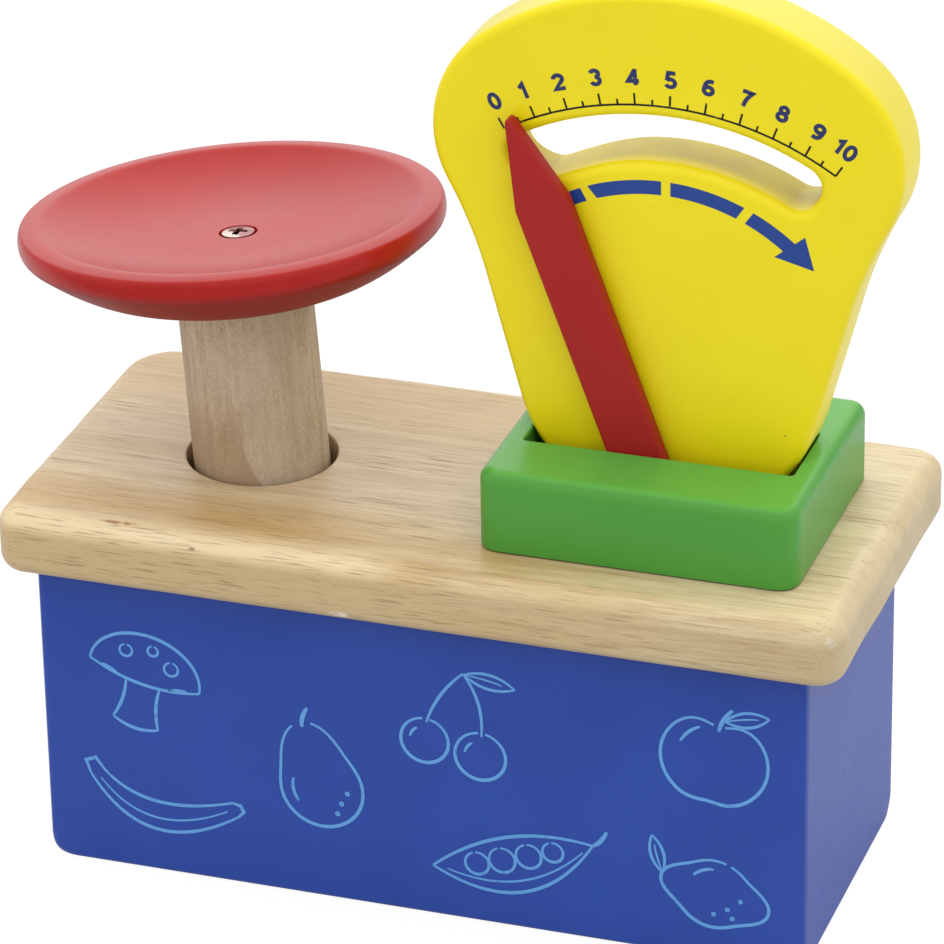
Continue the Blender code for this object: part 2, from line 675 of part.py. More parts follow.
def pointer_outline(inset):
    """The pointer upright: round tip, straight taper to the shoulders, and a round-ended tail."""
    tip_radius = POINTER_TIP_RADIUS - inset
    tip_centre = (0.0, POINTER_TIP - POINTER_TIP_RADIUS)
    lean = math.atan2(POINTER_HALF_WIDTH - POINTER_TIP_RADIUS, tip_centre[1] - POINTER_SHOULDER)
    half = arc(tip_centre, tip_radius, 0.0, math.radians(90.0) - lean, 3)
    half.append(Vector((POINTER_HALF_WIDTH - inset, POINTER_SHOULDER)))
    half.append(Vector((POINTER_HALF_WIDTH - inset, -POINTER_HALF_WIDTH)))
    half.append(Vector((TAIL_HALF_WIDTH - inset, -2 * POINTER_HALF_WIDTH)))
    half += arc((0.0, -TAIL_LENGTH), TAIL_HALF_WIDTH - inset, math.radians(90.0), math.radians(180.0), 5)
    return half + mirrored(half[1:-1], 0.0)


def make_pointer():
    """The pointer leaning to zero, the pin that it turns on and the pin in its tail."""
    pivot = Vector((DIAL_X, POINTER_FRONT + POINTER_THICK / 2, PIVOT_HEIGHT))
    lean = Euler((math.radians(90.0), -POINTER_REST, 0.0))
    axis = joint_empty("pointer_axis", pivot, lean)
    outline = pointer_outline(POINTER_ROUND)
    pointer = flat("pointer", [outline], POINTER_THICK, POINTER_PAINT, pivot, lean, POINTER_ROUND)
    pin_length = PIVOT_PIN_BACK - POINTER_FRONT - GAP
    pin_at = Vector((DIAL_X, PIVOT_PIN_BACK, PIVOT_HEIGHT))
    rod("pivot_pin", PIVOT_PIN_RADIUS, pin_length, STEEL, pin_at, FACE_FRONT)
    hole = rod("pointer_pivot_hole", PIVOT_PIN_RADIUS + GAP, DIAL_THICK, None, pin_at, FACE_FRONT)

    back = POINTER_FRONT + POINTER_THICK - GAP
    drive_x = DIAL_X + TAIL_LENGTH * math.sin(POINTER_REST)
    drive_z = PIVOT_HEIGHT - TAIL_LENGTH * math.cos(POINTER_REST)
    drive_at = Vector((drive_x, back, drive_z))
    length = back - DRIVE_PIN_FRONT
    drive = rod("drive_pin", DRIVE_PIN_RADIUS, length, STEEL, drive_at, FACE_FRONT, chamfer=0.5 * MM)
    hole_at = drive_at + Vector((0.0, POINTER_THICK, 0.0))
    drive_hole = rod("drive_pin_hole", DRIVE_PIN_RADIUS + GAP, 4 * POINTER_THICK, None, hole_at, FACE_FRONT)
    cut(pointer, hole, drive_hole)
    hang(axis, pointer, drive)


def cam_path(steps):
    """Where the drive pin runs in the bar, drawn with the bar at rest.

    The pin swings on the pointer's tail while the bar sinks in proportion to the swing.
    """
    path = []
    for n in range(steps + 1):
        swing = POINTER_SWEEP * n / steps
        angle = POINTER_REST - swing
        x = DIAL_X + TAIL_LENGTH * math.sin(angle)
        z = PIVOT_HEIGHT - TAIL_LENGTH * math.cos(angle)
        path.append(Vector((x, z + LIFT_TRAVEL * n / steps)))
    return path


def beside(path, distance):
    """The path moved sideways by a distance, to the right of its direction."""
    moved = []
    for n, point in enumerate(path):
        ahead = path[min(n + 1, len(path) - 1)]
        behind = path[max(n - 1, 0)]
        along = (ahead - behind).normalized()
        moved.append(point + Vector((along.y, -along.x)) * distance)
    return moved


def heading(start, end):
    """The direction from one point to another, from straight up and clockwise."""
    step = end - start
    return math.atan2(step.x, step.y)


def cam_slot():
    """The outline of the slanted slot: the pin's path with the pin's radius and its play all round."""
    path = cam_path(12)
    reach = DRIVE_PIN_RADIUS + PIN_PLAY
    leave = heading(path[0], path[1])
    arrive = heading(path[-2], path[-1])
    quarter = math.radians(90.0)
    outline = beside(path, reach)
    outline += arc(path[-1], reach, arrive + quarter, arrive - quarter, 6)[1:-1]
    outline += reversed(beside(path, -reach))
    outline += arc(path[0], reach, leave - quarter, leave - 3 * quarter, 6)[1:-1]
    return outline


def bar_outline():
    """The cam bar: a straight arm that widens into a gusset round the slanted slot."""
    path = cam_path(12)
    reach = DRIVE_PIN_RADIUS + PIN_PLAY + BAR_WALL
    leave = heading(path[0], path[1])
    arrive = heading(path[-2], path[-1])
    quarter = math.radians(90.0)
    left = LIFT_X - LIFT_LENGTH / 2
    gusset_left = path[-1].x - reach
    corner = (gusset_left - GUSSET_RADIUS, BAR_HIGH + GUSSET_RADIUS)
    outline = [Vector((left, BAR_LOW)), Vector((left, BAR_HIGH))]
    outline += arc(corner, GUSSET_RADIUS, math.radians(180.0), math.radians(90.0), 4)
    outline += arc(path[-1], reach, -quarter, arrive + quarter, 6)
    outline += reversed(beside(path[:-1], reach))
    outline += arc(path[0], reach, leave + quarter, math.radians(180.0), 6)[1:]
    return outline


def make_lift(panel, board):
    """The platform under the post, its guides and spring, and the cam bar on its front."""
    half = LIFT_LENGTH / 2
    low = Vector((LIFT_X - half, LIFT_FRONT, LIFT_TOP - LIFT_THICK))
    high = Vector((LIFT_X + half, LIFT_BACK, LIFT_TOP))
    shape = block_mesh(low, high)
    round_edges(shape, is_upright, LIFT_ROUND, 2)
    platform = place("lift_platform", finish_mesh(shape, "lift_platform"), INNER_WOOD)

    foot = PANEL_THICK - PANEL_POCKET + GAP
    length = BOARD_LOW + GUIDE_POCKET - GAP - foot
    for number, side in enumerate((-1, 1), 1):
        at = Vector((LIFT_X + side * GUIDE_SPACING / 2, LIFT_Y, foot))
        name = f"guide_dowel_{number}"
        rod(name, GUIDE_RADIUS, length, INNER_WOOD, at, chamfer=0.5 * MM)
        under = at - Vector((0.0, 0.0, GAP))
        hole = rod(name + "_hole", GUIDE_RADIUS + GAP, length + 2 * GAP, None, under)
        cut(panel, hole)
        cut(board, hole)
        cut(platform, hole)
    peg_at = Vector((LIFT_X, LIFT_Y, foot))
    rod("spring_peg", PEG_RADIUS, PEG_TOP - foot, INNER_WOOD, peg_at, chamfer=1.0 * MM)
    peg_under = peg_at - Vector((0.0, 0.0, GAP))
    cut(panel, rod("spring_peg_hole", PEG_RADIUS + GAP, PEG_TOP, None, peg_under))

    back = LIFT_FRONT - GAP
    bar_at = Vector((0.0, back - BAR_THICK / 2, 0.0))
    bar = flat("cam_bar", [bar_outline(), cam_slot()], BAR_THICK, INNER_WOOD, bar_at, FACE_FRONT)
    fasteners = []
    for number, side in enumerate((-1, 1), 1):
        front = back - BAR_THICK + SCREW_SINK
        at = Vector((LIFT_X + side * BAR_SCREW_SPACING / 2, front, (BAR_LOW + BAR_HIGH) / 2))
        name = f"cam_bar_screw_{number}"
        hole = screw(name, SMALL_SCREW, BAR_SCREW_LENGTH, at, FACE_FRONT)
        cut(bar, hole)
        cut(platform, hole)
        fasteners.append(PARTS.objects[name])
    hang(joint_empty("lift_axis", Vector((LIFT_X, LIFT_Y, LIFT_TOP))), platform, bar, *fasteners)


def spring_points():
    """The spring's wire: a helix with a short upright end at the foot and at the head."""
    low = PANEL_THICK + GAP
    high = LIFT_TOP - LIFT_THICK - GAP
    middle = Vector((LIFT_X, LIFT_Y, 0.0))
    count = SPRING_TURNS * POINTS_PER_TURN
    start = middle + Vector((SPRING_RADIUS, 0.0, low))
    points = [start]
    for n in range(count + 1):
        angle = math.tau * n / POINTS_PER_TURN
        height = low + SPRING_WIRE + (high - low - 2 * SPRING_WIRE) * n / count
        across = Vector((math.cos(angle), math.sin(angle), 0.0)) * SPRING_RADIUS
        points.append(middle + across + Vector((0.0, 0.0, height)))
    points.append(middle + Vector((SPRING_RADIUS, 0.0, high)))
    return points


def make_spring():
    """The return spring, and a print of the least gap between its turns."""
    points = spring_points()
    wire = bpy.data.curves.new("return_spring", "CURVE")
    wire.dimensions = "3D"
    wire.bevel_depth = SPRING_WIRE / 2
    wire.bevel_resolution = 1
    wire.use_fill_caps = True
    spline = wire.splines.new("POLY")
    spline.points.add(len(points) - 1)
    for corner, point in zip(spline.points, points):
        corner.co = (*point, 1.0)
    sketch = bpy.data.objects.new("return_spring_sketch", wire)
    CUTTERS.objects.link(sketch)
    solid_of(sketch, "return_spring", STEEL)
    apart = POINTS_PER_TURN // 2
    pairs = ((a, b) for a in range(len(points)) for b in range(a + apart, len(points)))
    least = min((points[a] - points[b]).length for a, b in pairs) - SPRING_WIRE
    print(f"least gap between the spring's turns: {least / MM:.2f} mm")


def make_scale():
    """Build every piece."""
    board = make_board()
    panel = make_box(board)
    make_post()
    make_dial(board)
    make_pointer()
    make_lift(panel, board)
    make_spring()


make_scale()
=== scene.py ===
"""The looks of the toy kitchen scale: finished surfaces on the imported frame, materials, light and camera.

Shapes are worked out in millimetres, in the part's own frame, and go into their meshes in metres.
"""

import math

import bmesh
import bpy
import numpy as np
from mathutils import Matrix, Vector
from mathutils.geometry import tessellate_polygon


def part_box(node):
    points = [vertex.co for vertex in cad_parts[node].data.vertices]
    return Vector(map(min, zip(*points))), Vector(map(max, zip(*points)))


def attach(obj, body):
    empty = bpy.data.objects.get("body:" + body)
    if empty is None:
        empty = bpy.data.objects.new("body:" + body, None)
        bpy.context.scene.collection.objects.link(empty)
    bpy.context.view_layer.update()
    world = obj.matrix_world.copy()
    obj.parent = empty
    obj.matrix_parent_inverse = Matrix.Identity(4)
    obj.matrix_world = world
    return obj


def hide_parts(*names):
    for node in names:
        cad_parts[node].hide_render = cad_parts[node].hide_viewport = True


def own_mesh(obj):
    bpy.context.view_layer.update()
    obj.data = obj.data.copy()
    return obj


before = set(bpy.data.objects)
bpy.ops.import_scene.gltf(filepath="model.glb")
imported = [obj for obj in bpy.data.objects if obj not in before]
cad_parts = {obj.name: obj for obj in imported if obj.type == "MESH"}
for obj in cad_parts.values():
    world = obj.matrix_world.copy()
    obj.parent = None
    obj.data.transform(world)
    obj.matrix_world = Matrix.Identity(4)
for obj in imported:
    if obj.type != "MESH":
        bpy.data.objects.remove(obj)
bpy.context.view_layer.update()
MM = 0.001

# Sizes shared with the solids, in millimetres
BOX_MIDDLE = np.array((-1.4, -0.5))
BOX_HALF = np.array((100.85, 42.3))
BOX_HEIGHT = 84.7
BOX_ROUND = 1.6
BOX_FRONT = BOX_MIDDLE[1] - BOX_HALF[1]
WALL = 9
BOARD_LOW, BOARD_TOP = 85, 102.9
BOARD_HALF = np.array((110, 52.4))
BOARD_CORNERS = (8, 8, 7.5, 14)
BOARD_ROUND = 5
HOLE_AT = np.array((-56.1, -1.2))
HOLE_RADIUS = 19.3
POST_AT = np.array((-56.35, -1.3, BOARD_TOP))
POST_TURN = Matrix.Rotation(math.radians(-5.3), 3, "Y") @ Matrix.Rotation(math.radians(-3.4), 3, "X")
POST_FOOT, POST_HEAD = -41.7, 48.8
POST_FOOT_RADIUS, POST_HEAD_RADIUS = 17.4, 17.2
PAN_FLOOR, PAN_BASE = 59.4, 49.1
PAN_SHIFT = np.array((-1.1, -0.5, 0))
RIM_CENTRE, RIM_HEIGHT, RIM_RADIUS = 50.2, 62.5, 3.75
BLOCK_LOW, BLOCK_HIGH = np.array((13.1, -37.3)), np.array((94.5, 30.6))
BLOCK_TOP = 124.35
DIAL_X = 53.6
DIAL_FRONT, DIAL_BACK = -10.5, 7.5
DIAL_TOP, DIAL_FOOT = 243.2, 103.2
SHOULDER = np.array((28.4, 203))
SHOULDER_RADIUS, FLANK_RADIUS = 30.8, 111
FOOT_CURVE = np.array((-1.09, 143.22))
FOOT_CURVE_RADIUS, FOOT_HALF_WIDTH = 40, 30.5
FLANK_SLOPE, FLANK_END, FOOT_CURVE_END = 28.2, -74.9, 127.84
PIVOT_HEIGHT = 107.5
POINTER_LEAN = math.radians(20.25)
POINTER_FRONT, POINTER_BACK = -16.2, -12
SCALE_CENTRE = np.array((52.8, 134.8))
ARROW_CENTRE = np.array((52.8, 143.3))
SPRING_AT = np.array((-53.5, -3.1))
SPRING_LOW, SPRING_HIGH, SPRING_TRAVEL = 6.3, 46.9, 21.87

UPRIGHT_AXES = np.array(((1, 0, 0), (0, 0, 1), (0, -1, 0)))
POST_AXES = np.array(POST_TURN).T


# Lines and outlines


def arc(centre, radius, start, end, count=24):
    """Points of a circular arc: centre + radius (sin a, cos a), with a in degrees from straight up, clockwise."""
    angle = np.radians(np.linspace(start, end, count))
    return np.asarray(centre) + radius * np.stack((np.sin(angle), np.cos(angle)), 1)


def around(count):
    """Angles once round, in even steps."""
    return np.linspace(0, 2 * np.pi, count, endpoint=False)


def ring(centre, wide, tall, count=40):
    """An ellipse that ends where it starts: centre + (wide sin a, tall cos a)."""
    angle = around(count)
    line = np.asarray(centre) + np.stack((wide * np.sin(angle), tall * np.cos(angle)), 1)
    return np.vstack((line, line[:1]))


def bezier(start, pull, end, count=16):
    """A quadratic Bezier curve: (1 - t)^2 start + 2 t (1 - t) pull + t^2 end."""
    share = np.linspace(0, 1, count)[:, None]
    start, pull, end = np.asarray(start), np.asarray(pull), np.asarray(end)
    return (1 - share) ** 2 * start + 2 * share * (1 - share) * pull + share ** 2 * end


def evenly(loop, spacing):
    """The same closed outline with points at even steps along it."""
    line = np.vstack((loop, loop[:1]))
    length = np.concatenate(((0,), np.cumsum(np.linalg.norm(np.diff(line, axis=0), axis=1))))
    keep = np.concatenate(((True,), np.diff(length) > 1e-9))
    count = max(3, round(length[-1] / spacing))
    at = np.linspace(0, length[-1], count + 1)[:-1]
    return np.stack([np.interp(at, length[keep], part) for part in line[keep].T], 1)


def leftward(loop):
    """A closed outline in anticlockwise order."""
    ahead = np.roll(loop, -1, 0)
    area = np.sum(loop[:, 0] * ahead[:, 1] - ahead[:, 0] * loop[:, 1])
    return loop if area > 0 else loop[::-1]


def mirrored(half):
    """A closed outline from its right half, which runs from the top to the bottom."""
    return np.vstack((half, half[::-1] * (-1, 1)))


def unit(vectors):
    """Each vector divided by its length."""
    return vectors / np.linalg.norm(vectors, axis=1, keepdims=True)


def outward(loop):
    """Unit normals of an anticlockwise outline: the chord through each point's neighbours, turned right."""
    chord = np.roll(loop, -1, 0) - np.roll(loop, 1, 0)
    return unit(np.stack((chord[:, 1], -chord[:, 0]), 1))


def rounded_rectangle(middle, half, radii, spacing):
    """A rectangle whose corners are quarter circles, from the back right corner clockwise."""
    radii = np.broadcast_to(radii, (4,))
    corners = []
    for number, (side, radius) in enumerate(zip(((1, 1), (1, -1), (-1, -1), (-1, 1)), radii)):
        centre = np.asarray(middle) + (np.asarray(half) - radius) * side
        corners.append(arc(centre, radius, 90 * number, 90 * number + 90))
    return evenly(np.vstack(corners), spacing)


def ripple(count, waves):
    """A gentle unevenness round an outline: the sum of size sin(cycles t + phase), with t once round it."""
    return sum(size * np.sin(cycles * around(count) + phase) for cycles, size, phase in waves)


def ramp(value, low, high):
    """0 below low, 1 above high and 3 t^2 - 2 t^3 between them."""
    share = np.clip((value - low) / (high - low), 0, 1)
    return share * share * (3 - 2 * share)


# Surfaces


def quads(rows, columns):
    """Corner numbers of the faces of a grid whose last column meets its first one."""
    up = np.arange(rows - 1)[:, None] * columns
    here = np.arange(columns)[None, :]
    beside = (here + 1) % columns
    corners = (up + here, up + beside, up + columns + beside, up + columns + here)
    return np.stack(corners, -1).reshape(-1, 4)


def placed(surface, origin, axes):
    """A surface whose points are given along three axes, put in the part's frame."""
    points, faces = surface
    return np.asarray(origin) + points @ np.asarray(axes), faces


def piece(name, surface, material, body, nodes=(), sharp=35):
    """One closed, smooth piece that rides on a body and may stand for solids."""
    points, faces = surface
    mesh = bpy.data.meshes.new(name)
    mesh.from_pydata((points * MM).tolist(), [], faces)
    shape = bmesh.new()
    shape.from_mesh(mesh)
    bmesh.ops.remove_doubles(shape, verts=shape.verts, dist=1e-7)
    bmesh.ops.recalc_face_normals(shape, faces=shape.faces)
    shape.to_mesh(mesh)
    shape.free()
    mesh.materials.append(material)
    mesh.shade_smooth()
    mesh.set_sharp_from_angle(angle=math.radians(sharp))
    thing = bpy.data.objects.new(name, mesh)
    bpy.context.scene.collection.objects.link(thing)
    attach(thing, body)
    if nodes:
        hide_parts(*nodes)
    return thing


def rim(loop, low, high, round_low, round_high, side, between=()):
    """Rings up a plate's edge: the outline moved in by r (1 - sin a) at a height r (1 - cos a) from each face.

    The first and last ring lie a little further in, on the flat faces. A hole's edge moves out instead.
    The radius r may change along the outline. More rings may lie at heights between the two rounded edges.
    """
    angle = np.radians(np.linspace(0, 90, 9))[:, None]
    round_low, round_high = (np.broadcast_to(radius, (1, len(loop))) for radius in (round_low, round_high))
    between = np.reshape(between, (-1, 1)) + 0 * round_low
    lip = 0.4
    inset_low, inset_high = (radius * (1 - np.sin(angle)) for radius in (round_low, round_high))
    rise_low, rise_high = (radius * (1 - np.cos(angle)) for radius in (round_low, round_high))
    inset = np.vstack((round_low + lip, inset_low, 0 * between, inset_high[::-1], round_high + lip))
    height = np.vstack((low + 0 * round_low, low + rise_low, between, high - rise_high[::-1], high + 0 * round_high))
    flat = loop[None] - side * inset[..., None] * outward(loop)[None]
    return np.concatenate((flat, height[..., None]), 2)


def plate(outline, holes, low, high, round_low, round_high, hole_low=0.3, hole_high=0.3, between=()):
    """A flat piece: a rounded edge carried round its outline, one round each hole, and two flat faces."""
    points, faces, first = [], [], 0
    bottom, top = [], []
    for number, loop in enumerate([outline, *holes]):
        loop = leftward(loop)
        if number == 0:
            rings = rim(loop, low, high, round_low, round_high, 1, between)
        else:
            rings = rim(loop, low, high, hole_low, hole_high, -1)
        rows, columns = rings.shape[:2]
        faces.append(quads(rows, columns) + first)
        bottom.append((rings[0], first))
        top.append((rings[-1], first + (rows - 1) * columns))
        points.append(rings.reshape(-1, 3))
        first += rows * columns
    cover = []
    for side in (bottom, top):
        number = np.concatenate([start + np.arange(len(ring)) for ring, start in side])
        flat = tessellate_polygon([[Vector(corner) for corner in ring] for ring, start in side])
        cover += number[np.array(flat)].tolist()
    return np.vstack(points), np.vstack(faces).tolist() + cover


def turned(profile, steps, shift=0):
    """A profile of (radius, height) carried round the third axis: (r cos t, r sin t, h), each ring moved by shift."""
    angle = around(steps)[None]
    radius, height = profile[:, :1], profile[:, 1:]
    points = np.stack((radius * np.cos(angle), radius * np.sin(angle), height + 0 * angle), -1) + shift
    return points.reshape(-1, 3), quads(len(profile), steps).tolist()


def strips(sides, lift):
    """Flat inked strips, each between two edge lines: a thin box section carried along them, with capped ends.

    Neighbouring strips end at four heights in turn, so that crossing strokes don't share a plane.
    """
    points, faces, first, sunk = [], [], 0, -0.05
    for number, (left, right) in enumerate(sides):
        top = lift * (1 + 0.3 * (number % 4))
        edges = ((left, sunk), (right, sunk), (right, top), (left, top))
        rings = np.stack([np.insert(line, 2, height, axis=1) for line, height in edges], 1)
        last = first + 4 * len(rings) - 4
        faces += (quads(len(rings), 4) + first).tolist()
        if not np.allclose(rings[0], rings[-1]):
            faces += [[start + n for n in range(4)] for start in (first, last)]
        points.append(rings.reshape(-1, 3))
        first = last + 4
    return np.vstack(points), faces


def ribbons(lines, lift):
    """Inked strips along lines: each line's points moved half a width to both sides, with mitred corners."""
    sides = []
    for line, width in lines:
        step = unit(np.diff(line, axis=0))
        closed = np.allclose(line[0], line[-1])
        before = np.vstack((step[-1:] if closed else step[:1], step))
        after = np.vstack((step, step[:1] if closed else step[-1:]))
        middle = unit(before + after)
        side = np.stack((-middle[:, 1], middle[:, 0]), 1)
        stretch = np.clip(np.sum(middle * after, 1, keepdims=True), 0.5, 1)
        reach = np.broadcast_to(width, (len(line),))[:, None] / 2 * side / stretch
        sides.append((line + reach, line - reach))
    return strips(sides, lift)


# Materials


def linear(colour):
    """A screen colour, 0 to 255, as the linear colour that a shader takes. A colour from a socket stays as it is."""
    if isinstance(colour, Wire):
        return colour
    value = np.array(colour) / 255
    mixed = np.where(value <= 0.04045, value / 12.92, ((value + 0.055) / 1.055) ** 2.4)
    return (*mixed.tolist(), 1)


class Wire:
    """One socket of a node tree. Arithmetic on it adds Math nodes to the same tree."""

    def __init__(self, tree, socket=None):
        self.tree = tree
        self.socket = socket

    def node(self, kind, sockets=None, out=0, **settings):
        """Add a shader node: its settings first, then its sockets."""
        made = self.tree.nodes.new("ShaderNode" + kind)
        for key, value in settings.items():
            setattr(made, key, value)
        self.feed(made, sockets or {})
        return Wire(self.tree, made.outputs[out]) if made.outputs else None

    def feed(self, made, sockets):
        """Link or set a node's sockets."""
        for key, value in sockets.items():
            if isinstance(value, Wire):
                self.tree.links.new(value.socket, made.inputs[key])
            else:
                made.inputs[key].default_value = value

    def math(self, operation, *terms):
        """A Math node on this value and other values."""
        return self.node("Math", dict(enumerate(terms)), operation=operation)

    def __add__(self, other):
        return self.math("ADD", self, other)

    __radd__ = __add__

    def __sub__(self, other):
        return self.math("SUBTRACT", self, other)

    def __rsub__(self, other):
        return self.math("SUBTRACT", other, self)

    def __mul__(self, other):
        return self.math("MULTIPLY", self, other)

    __rmul__ = __mul__

    def __pow__(self, other):
        return self.math("POWER", self, other)

    def most(self, other):
        """The larger of this value and another."""
        return self.math("MAXIMUM", self, other)

    def rise(self, low, high):
        """0 below low, 1 above high and a smooth rise between them."""
        sockets = {"Value": self, "From Min": low, "From Max": high}
        return self.node("MapRange", sockets, interpolation_type="SMOOTHSTEP")

    def blend(self, low, high):
        """A colour between two colours, with this value as the share of the second."""
        sockets = {0: self, 6: linear(low), 7: linear(high)}
        return self.node("Mix", sockets, 2, data_type="RGBA")

    def along(self, direction):
        """How far this vector reaches in a direction."""
        return self.node("VectorMath", {0: self, 1: direction}, "Value", operation="DOT_PRODUCT")

    def place(self):
        """The three parts of this vector, in millimetres."""
        return [self.along(tuple(axis)) for axis in np.eye(3) / MM]

    def pushed(self, other, amount):
        """This vector with another one, scaled axis by axis, added to it."""
        return self.node("VectorMath", {0: other, 1: amount, 2: self}, operation="MULTIPLY_ADD")

    def moved(self, scale, shift=(0, 0, 0), turn=(0, 0, 0)):
        """This vector turned, scaled and shifted."""
        sockets = {"Vector": self, "Scale": scale, "Location": shift, "Rotation": turn}
        return self.node("Mapping", sockets)

    def spot(self, centre, reach):
        """1 near a point and 0 from a reach along each axis outwards, both in millimetres."""
        scale = tuple(1 / (MM * part) for part in reach)
        shift = tuple(-at / part for at, part in zip(centre, reach))
        away = self.node("VectorMath", {0: self.moved(scale, shift)}, "Value", operation="LENGTH")
        return 1 - away.rise(0.4, 1)

    def noise(self, scale, detail=2, roughness=0.5, shift=(0, 0, 0), out=0):
        """Noise on this vector, about 0.5. The scale is in cycles per metre on each axis, the last one repeated."""
        where = self.moved((*scale, scale[-1], scale[-1])[:3], shift)
        sockets = {"Vector": where, "Scale": 1, "Detail": detail, "Roughness": roughness}
        return self.node("TexNoise", sockets, out)


def finish(name, look, *colours, **settings):
    """A material. The look is given the surface's own coordinates, and returns the values of the shader's sockets."""
    material = bpy.data.materials.new(name)
    material.use_nodes = True
    here = Wire(material.node_tree).node("TexCoord", out="Object")
    here.feed(material.node_tree.nodes["Principled BSDF"], look(here, *colours, **settings))
    return material


def layered(colour, *layers):
    """A colour with others laid over it in turn, each given after its share."""
    for share, other in layers:
        colour = share.blend(colour, other)
    return colour


def bump(height, depth, strength):
    """A Bump node's normal for a height of 0 to 1 and a depth in millimetres."""
    return height.node("Bump", {"Strength": strength, "Distance": depth * MM, "Height": height})


def wood(here, pale, tan, rosy, brown, shift, turn=(0, 0, 0)):
    """Wood whose grain runs along X after a turn: broad bands, a rosy cast, fine fibre and short dark pores."""
    straight = here.moved((1, 1, 1), (shift, 2 * shift, 3 * shift), turn)
    sway = straight.noise((7, 24), out="Color")
    grain = straight.pushed(sway, (0, 0.007, 0.007))
    band = grain.noise((5, 80), 3, 0.55)
    blush = grain.noise((4, 36), 2, 0.5, (1.7, 0.4, 0.9)).rise(0.42, 0.64)
    fibre = grain.noise((26, 1300), 3, 0.65)
    thread = grain.noise((36, 1300), 2, 0.5, (0.9, 0.2, 0.1)).rise(0.53, 0.68)
    dash = grain.noise((80, 2100), 1, 0.5, (0.3, 0.1, 0.7)).rise(0.58, 0.7)
    group = grain.noise((16, 150)).rise(0.4, 0.66)
    share = (band - 0.5) * 2 + (fibre - 0.5) * 0.9 + 0.5
    colour = layered(
        share.rise(0, 1).blend(pale, tan),
        (blush * 0.6, rosy),
        (thread * (group * 0.3 + 0.16), brown),
        (dash * (group * 0.62 + 0.06), brown),
    )
    rough = 0.6 + (fibre - 0.5) * 0.2 + dash * 0.08
    height = fibre * 0.4 - dash * group
    return {"Base Color": colour, "Roughness": rough, "Normal": bump(height, 0.06, 0.5)}


def board_wood(here, cream, tan, rosy, gold, brown, dull):
    """The top board's wood: bands along X, a rosy middle, a golden front, duller edges, and scattered dark pores.

    Single marks: a reddish streak and a dot by the front left corner, a chip at the lower front edge and a pale
    smear at the front right corner. The front edge carries painted light: a painted highlight along its top,
    strongest on the left, paler face below it on the left, and painted shade on the face's right part.
    """
    sway = here.noise((5, 18), out="Color")
    grain = here.pushed(sway, (0, 0.006, 0.006))
    along, across, height = here.place()
    band = grain.noise((4, 75), 3, 0.55)
    streak = grain.noise((20, 330), 3, 0.6, (0.2, 0.5, 0.1))
    patch = grain.noise((9, 40), 2, 0.5, (1.7, 0.4, 0.9))
    fibre = grain.noise((46, 1400), 3, 0.65)
    pore = grain.noise((95, 2200), 2, 0.55, (0.9, 0.2, 0.1)).rise(0.54, 0.7)
    dash = grain.noise((70, 1700), 1, 0.5, (0.3, 0.1, 0.7)).rise(0.59, 0.69)
    group = grain.noise((14, 130), 2, 0.5, (0.6, 0.3, 0.2)).rise(0.42, 0.66)
    end = along.rise(104.5, 108)
    share = (band - 0.5) * 1.7 + (streak - 0.5) * 1.4 + (fibre - 0.5) * 1.2
    share = share * (1 - along.rise(88, 108) * 0.6) + 0.5
    right = along.rise(10, 90)
    left = 1 - right
    golden = left * (1 - across.rise(-38, -20)) * patch.rise(0.3, 0.6)
    side = 1 - height.rise(96, 100.5)
    # crest and worn mask a painted highlight along the front top edge: full on the left, fading out by the middle.
    crest = height.rise(96.6, 101.2) * (1 - across.rise(-51.4, -41)) * (1 - end)
    worn = (1 - along.rise(-15, 5)) * (0.6 + streak * 0.4) + patch.rise(0.35, 0.6) * 0.06
    inner = 1 - end * 0.8
    torn = here.noise((400,)).rise(0.35, 0.6)
    colour = layered(
        (share - right * 0.12).rise(0, 1).blend(cream, tan),
        (left * (patch.rise(0.4, 0.6) * 0.4 + 0.25) * across.rise(-34, -14), rosy),
        (golden * (0.75 + fibre * 0.4), gold),
        (left * across.rise(5, 30) * 0.38, gold),
        (side.most(end) * 0.2 + end * 0.04 + side * end * 0.2, dull),
        # On the front face, paler on the left is a painted highlight and darker olive on the right is painted shade.
        (side * left * 0.24, (216, 198, 164)),
        (side * along.rise(50, 100) * (1 - end) * 0.35, (170, 144, 98)),
        # Cream along the front top edge is a painted highlight; pores and dashes show less under it.
        (crest * worn, (232, 213, 172)),
        (pore * inner * (golden * 0.25 - crest * 0.06 + 0.3), brown),
        (dash * inner * (1 - side * 0.5) * (1 - crest * 0.5) * (group * 0.55 + 0.08), brown),
        (here.spot((-76.3, -48.4, 102.9), (6, 0.9, 3)) * torn * 0.7, (142, 88, 50)),
        (here.spot((-56, -51.6, 100), (1.3, 0.9, 0.6)) * 0.7, (128, 98, 66)),
        (here.spot((-17.6, -51.8, 87.4), (4, 2, 1.3)) * torn, (232, 222, 198)),
        (here.spot((107, -49.6, 98.2), (2.4, 2.4, 2)) * torn * 0.5, (212, 206, 194)),
    )
    rough = 0.42 + (fibre - 0.5) * 0.2 + dash * 0.08
    grooves = fibre * 0.4 - dash * group
    return {"Base Color": colour, "Roughness": rough, "Normal": bump(grooves, 0.06, 0.45)}


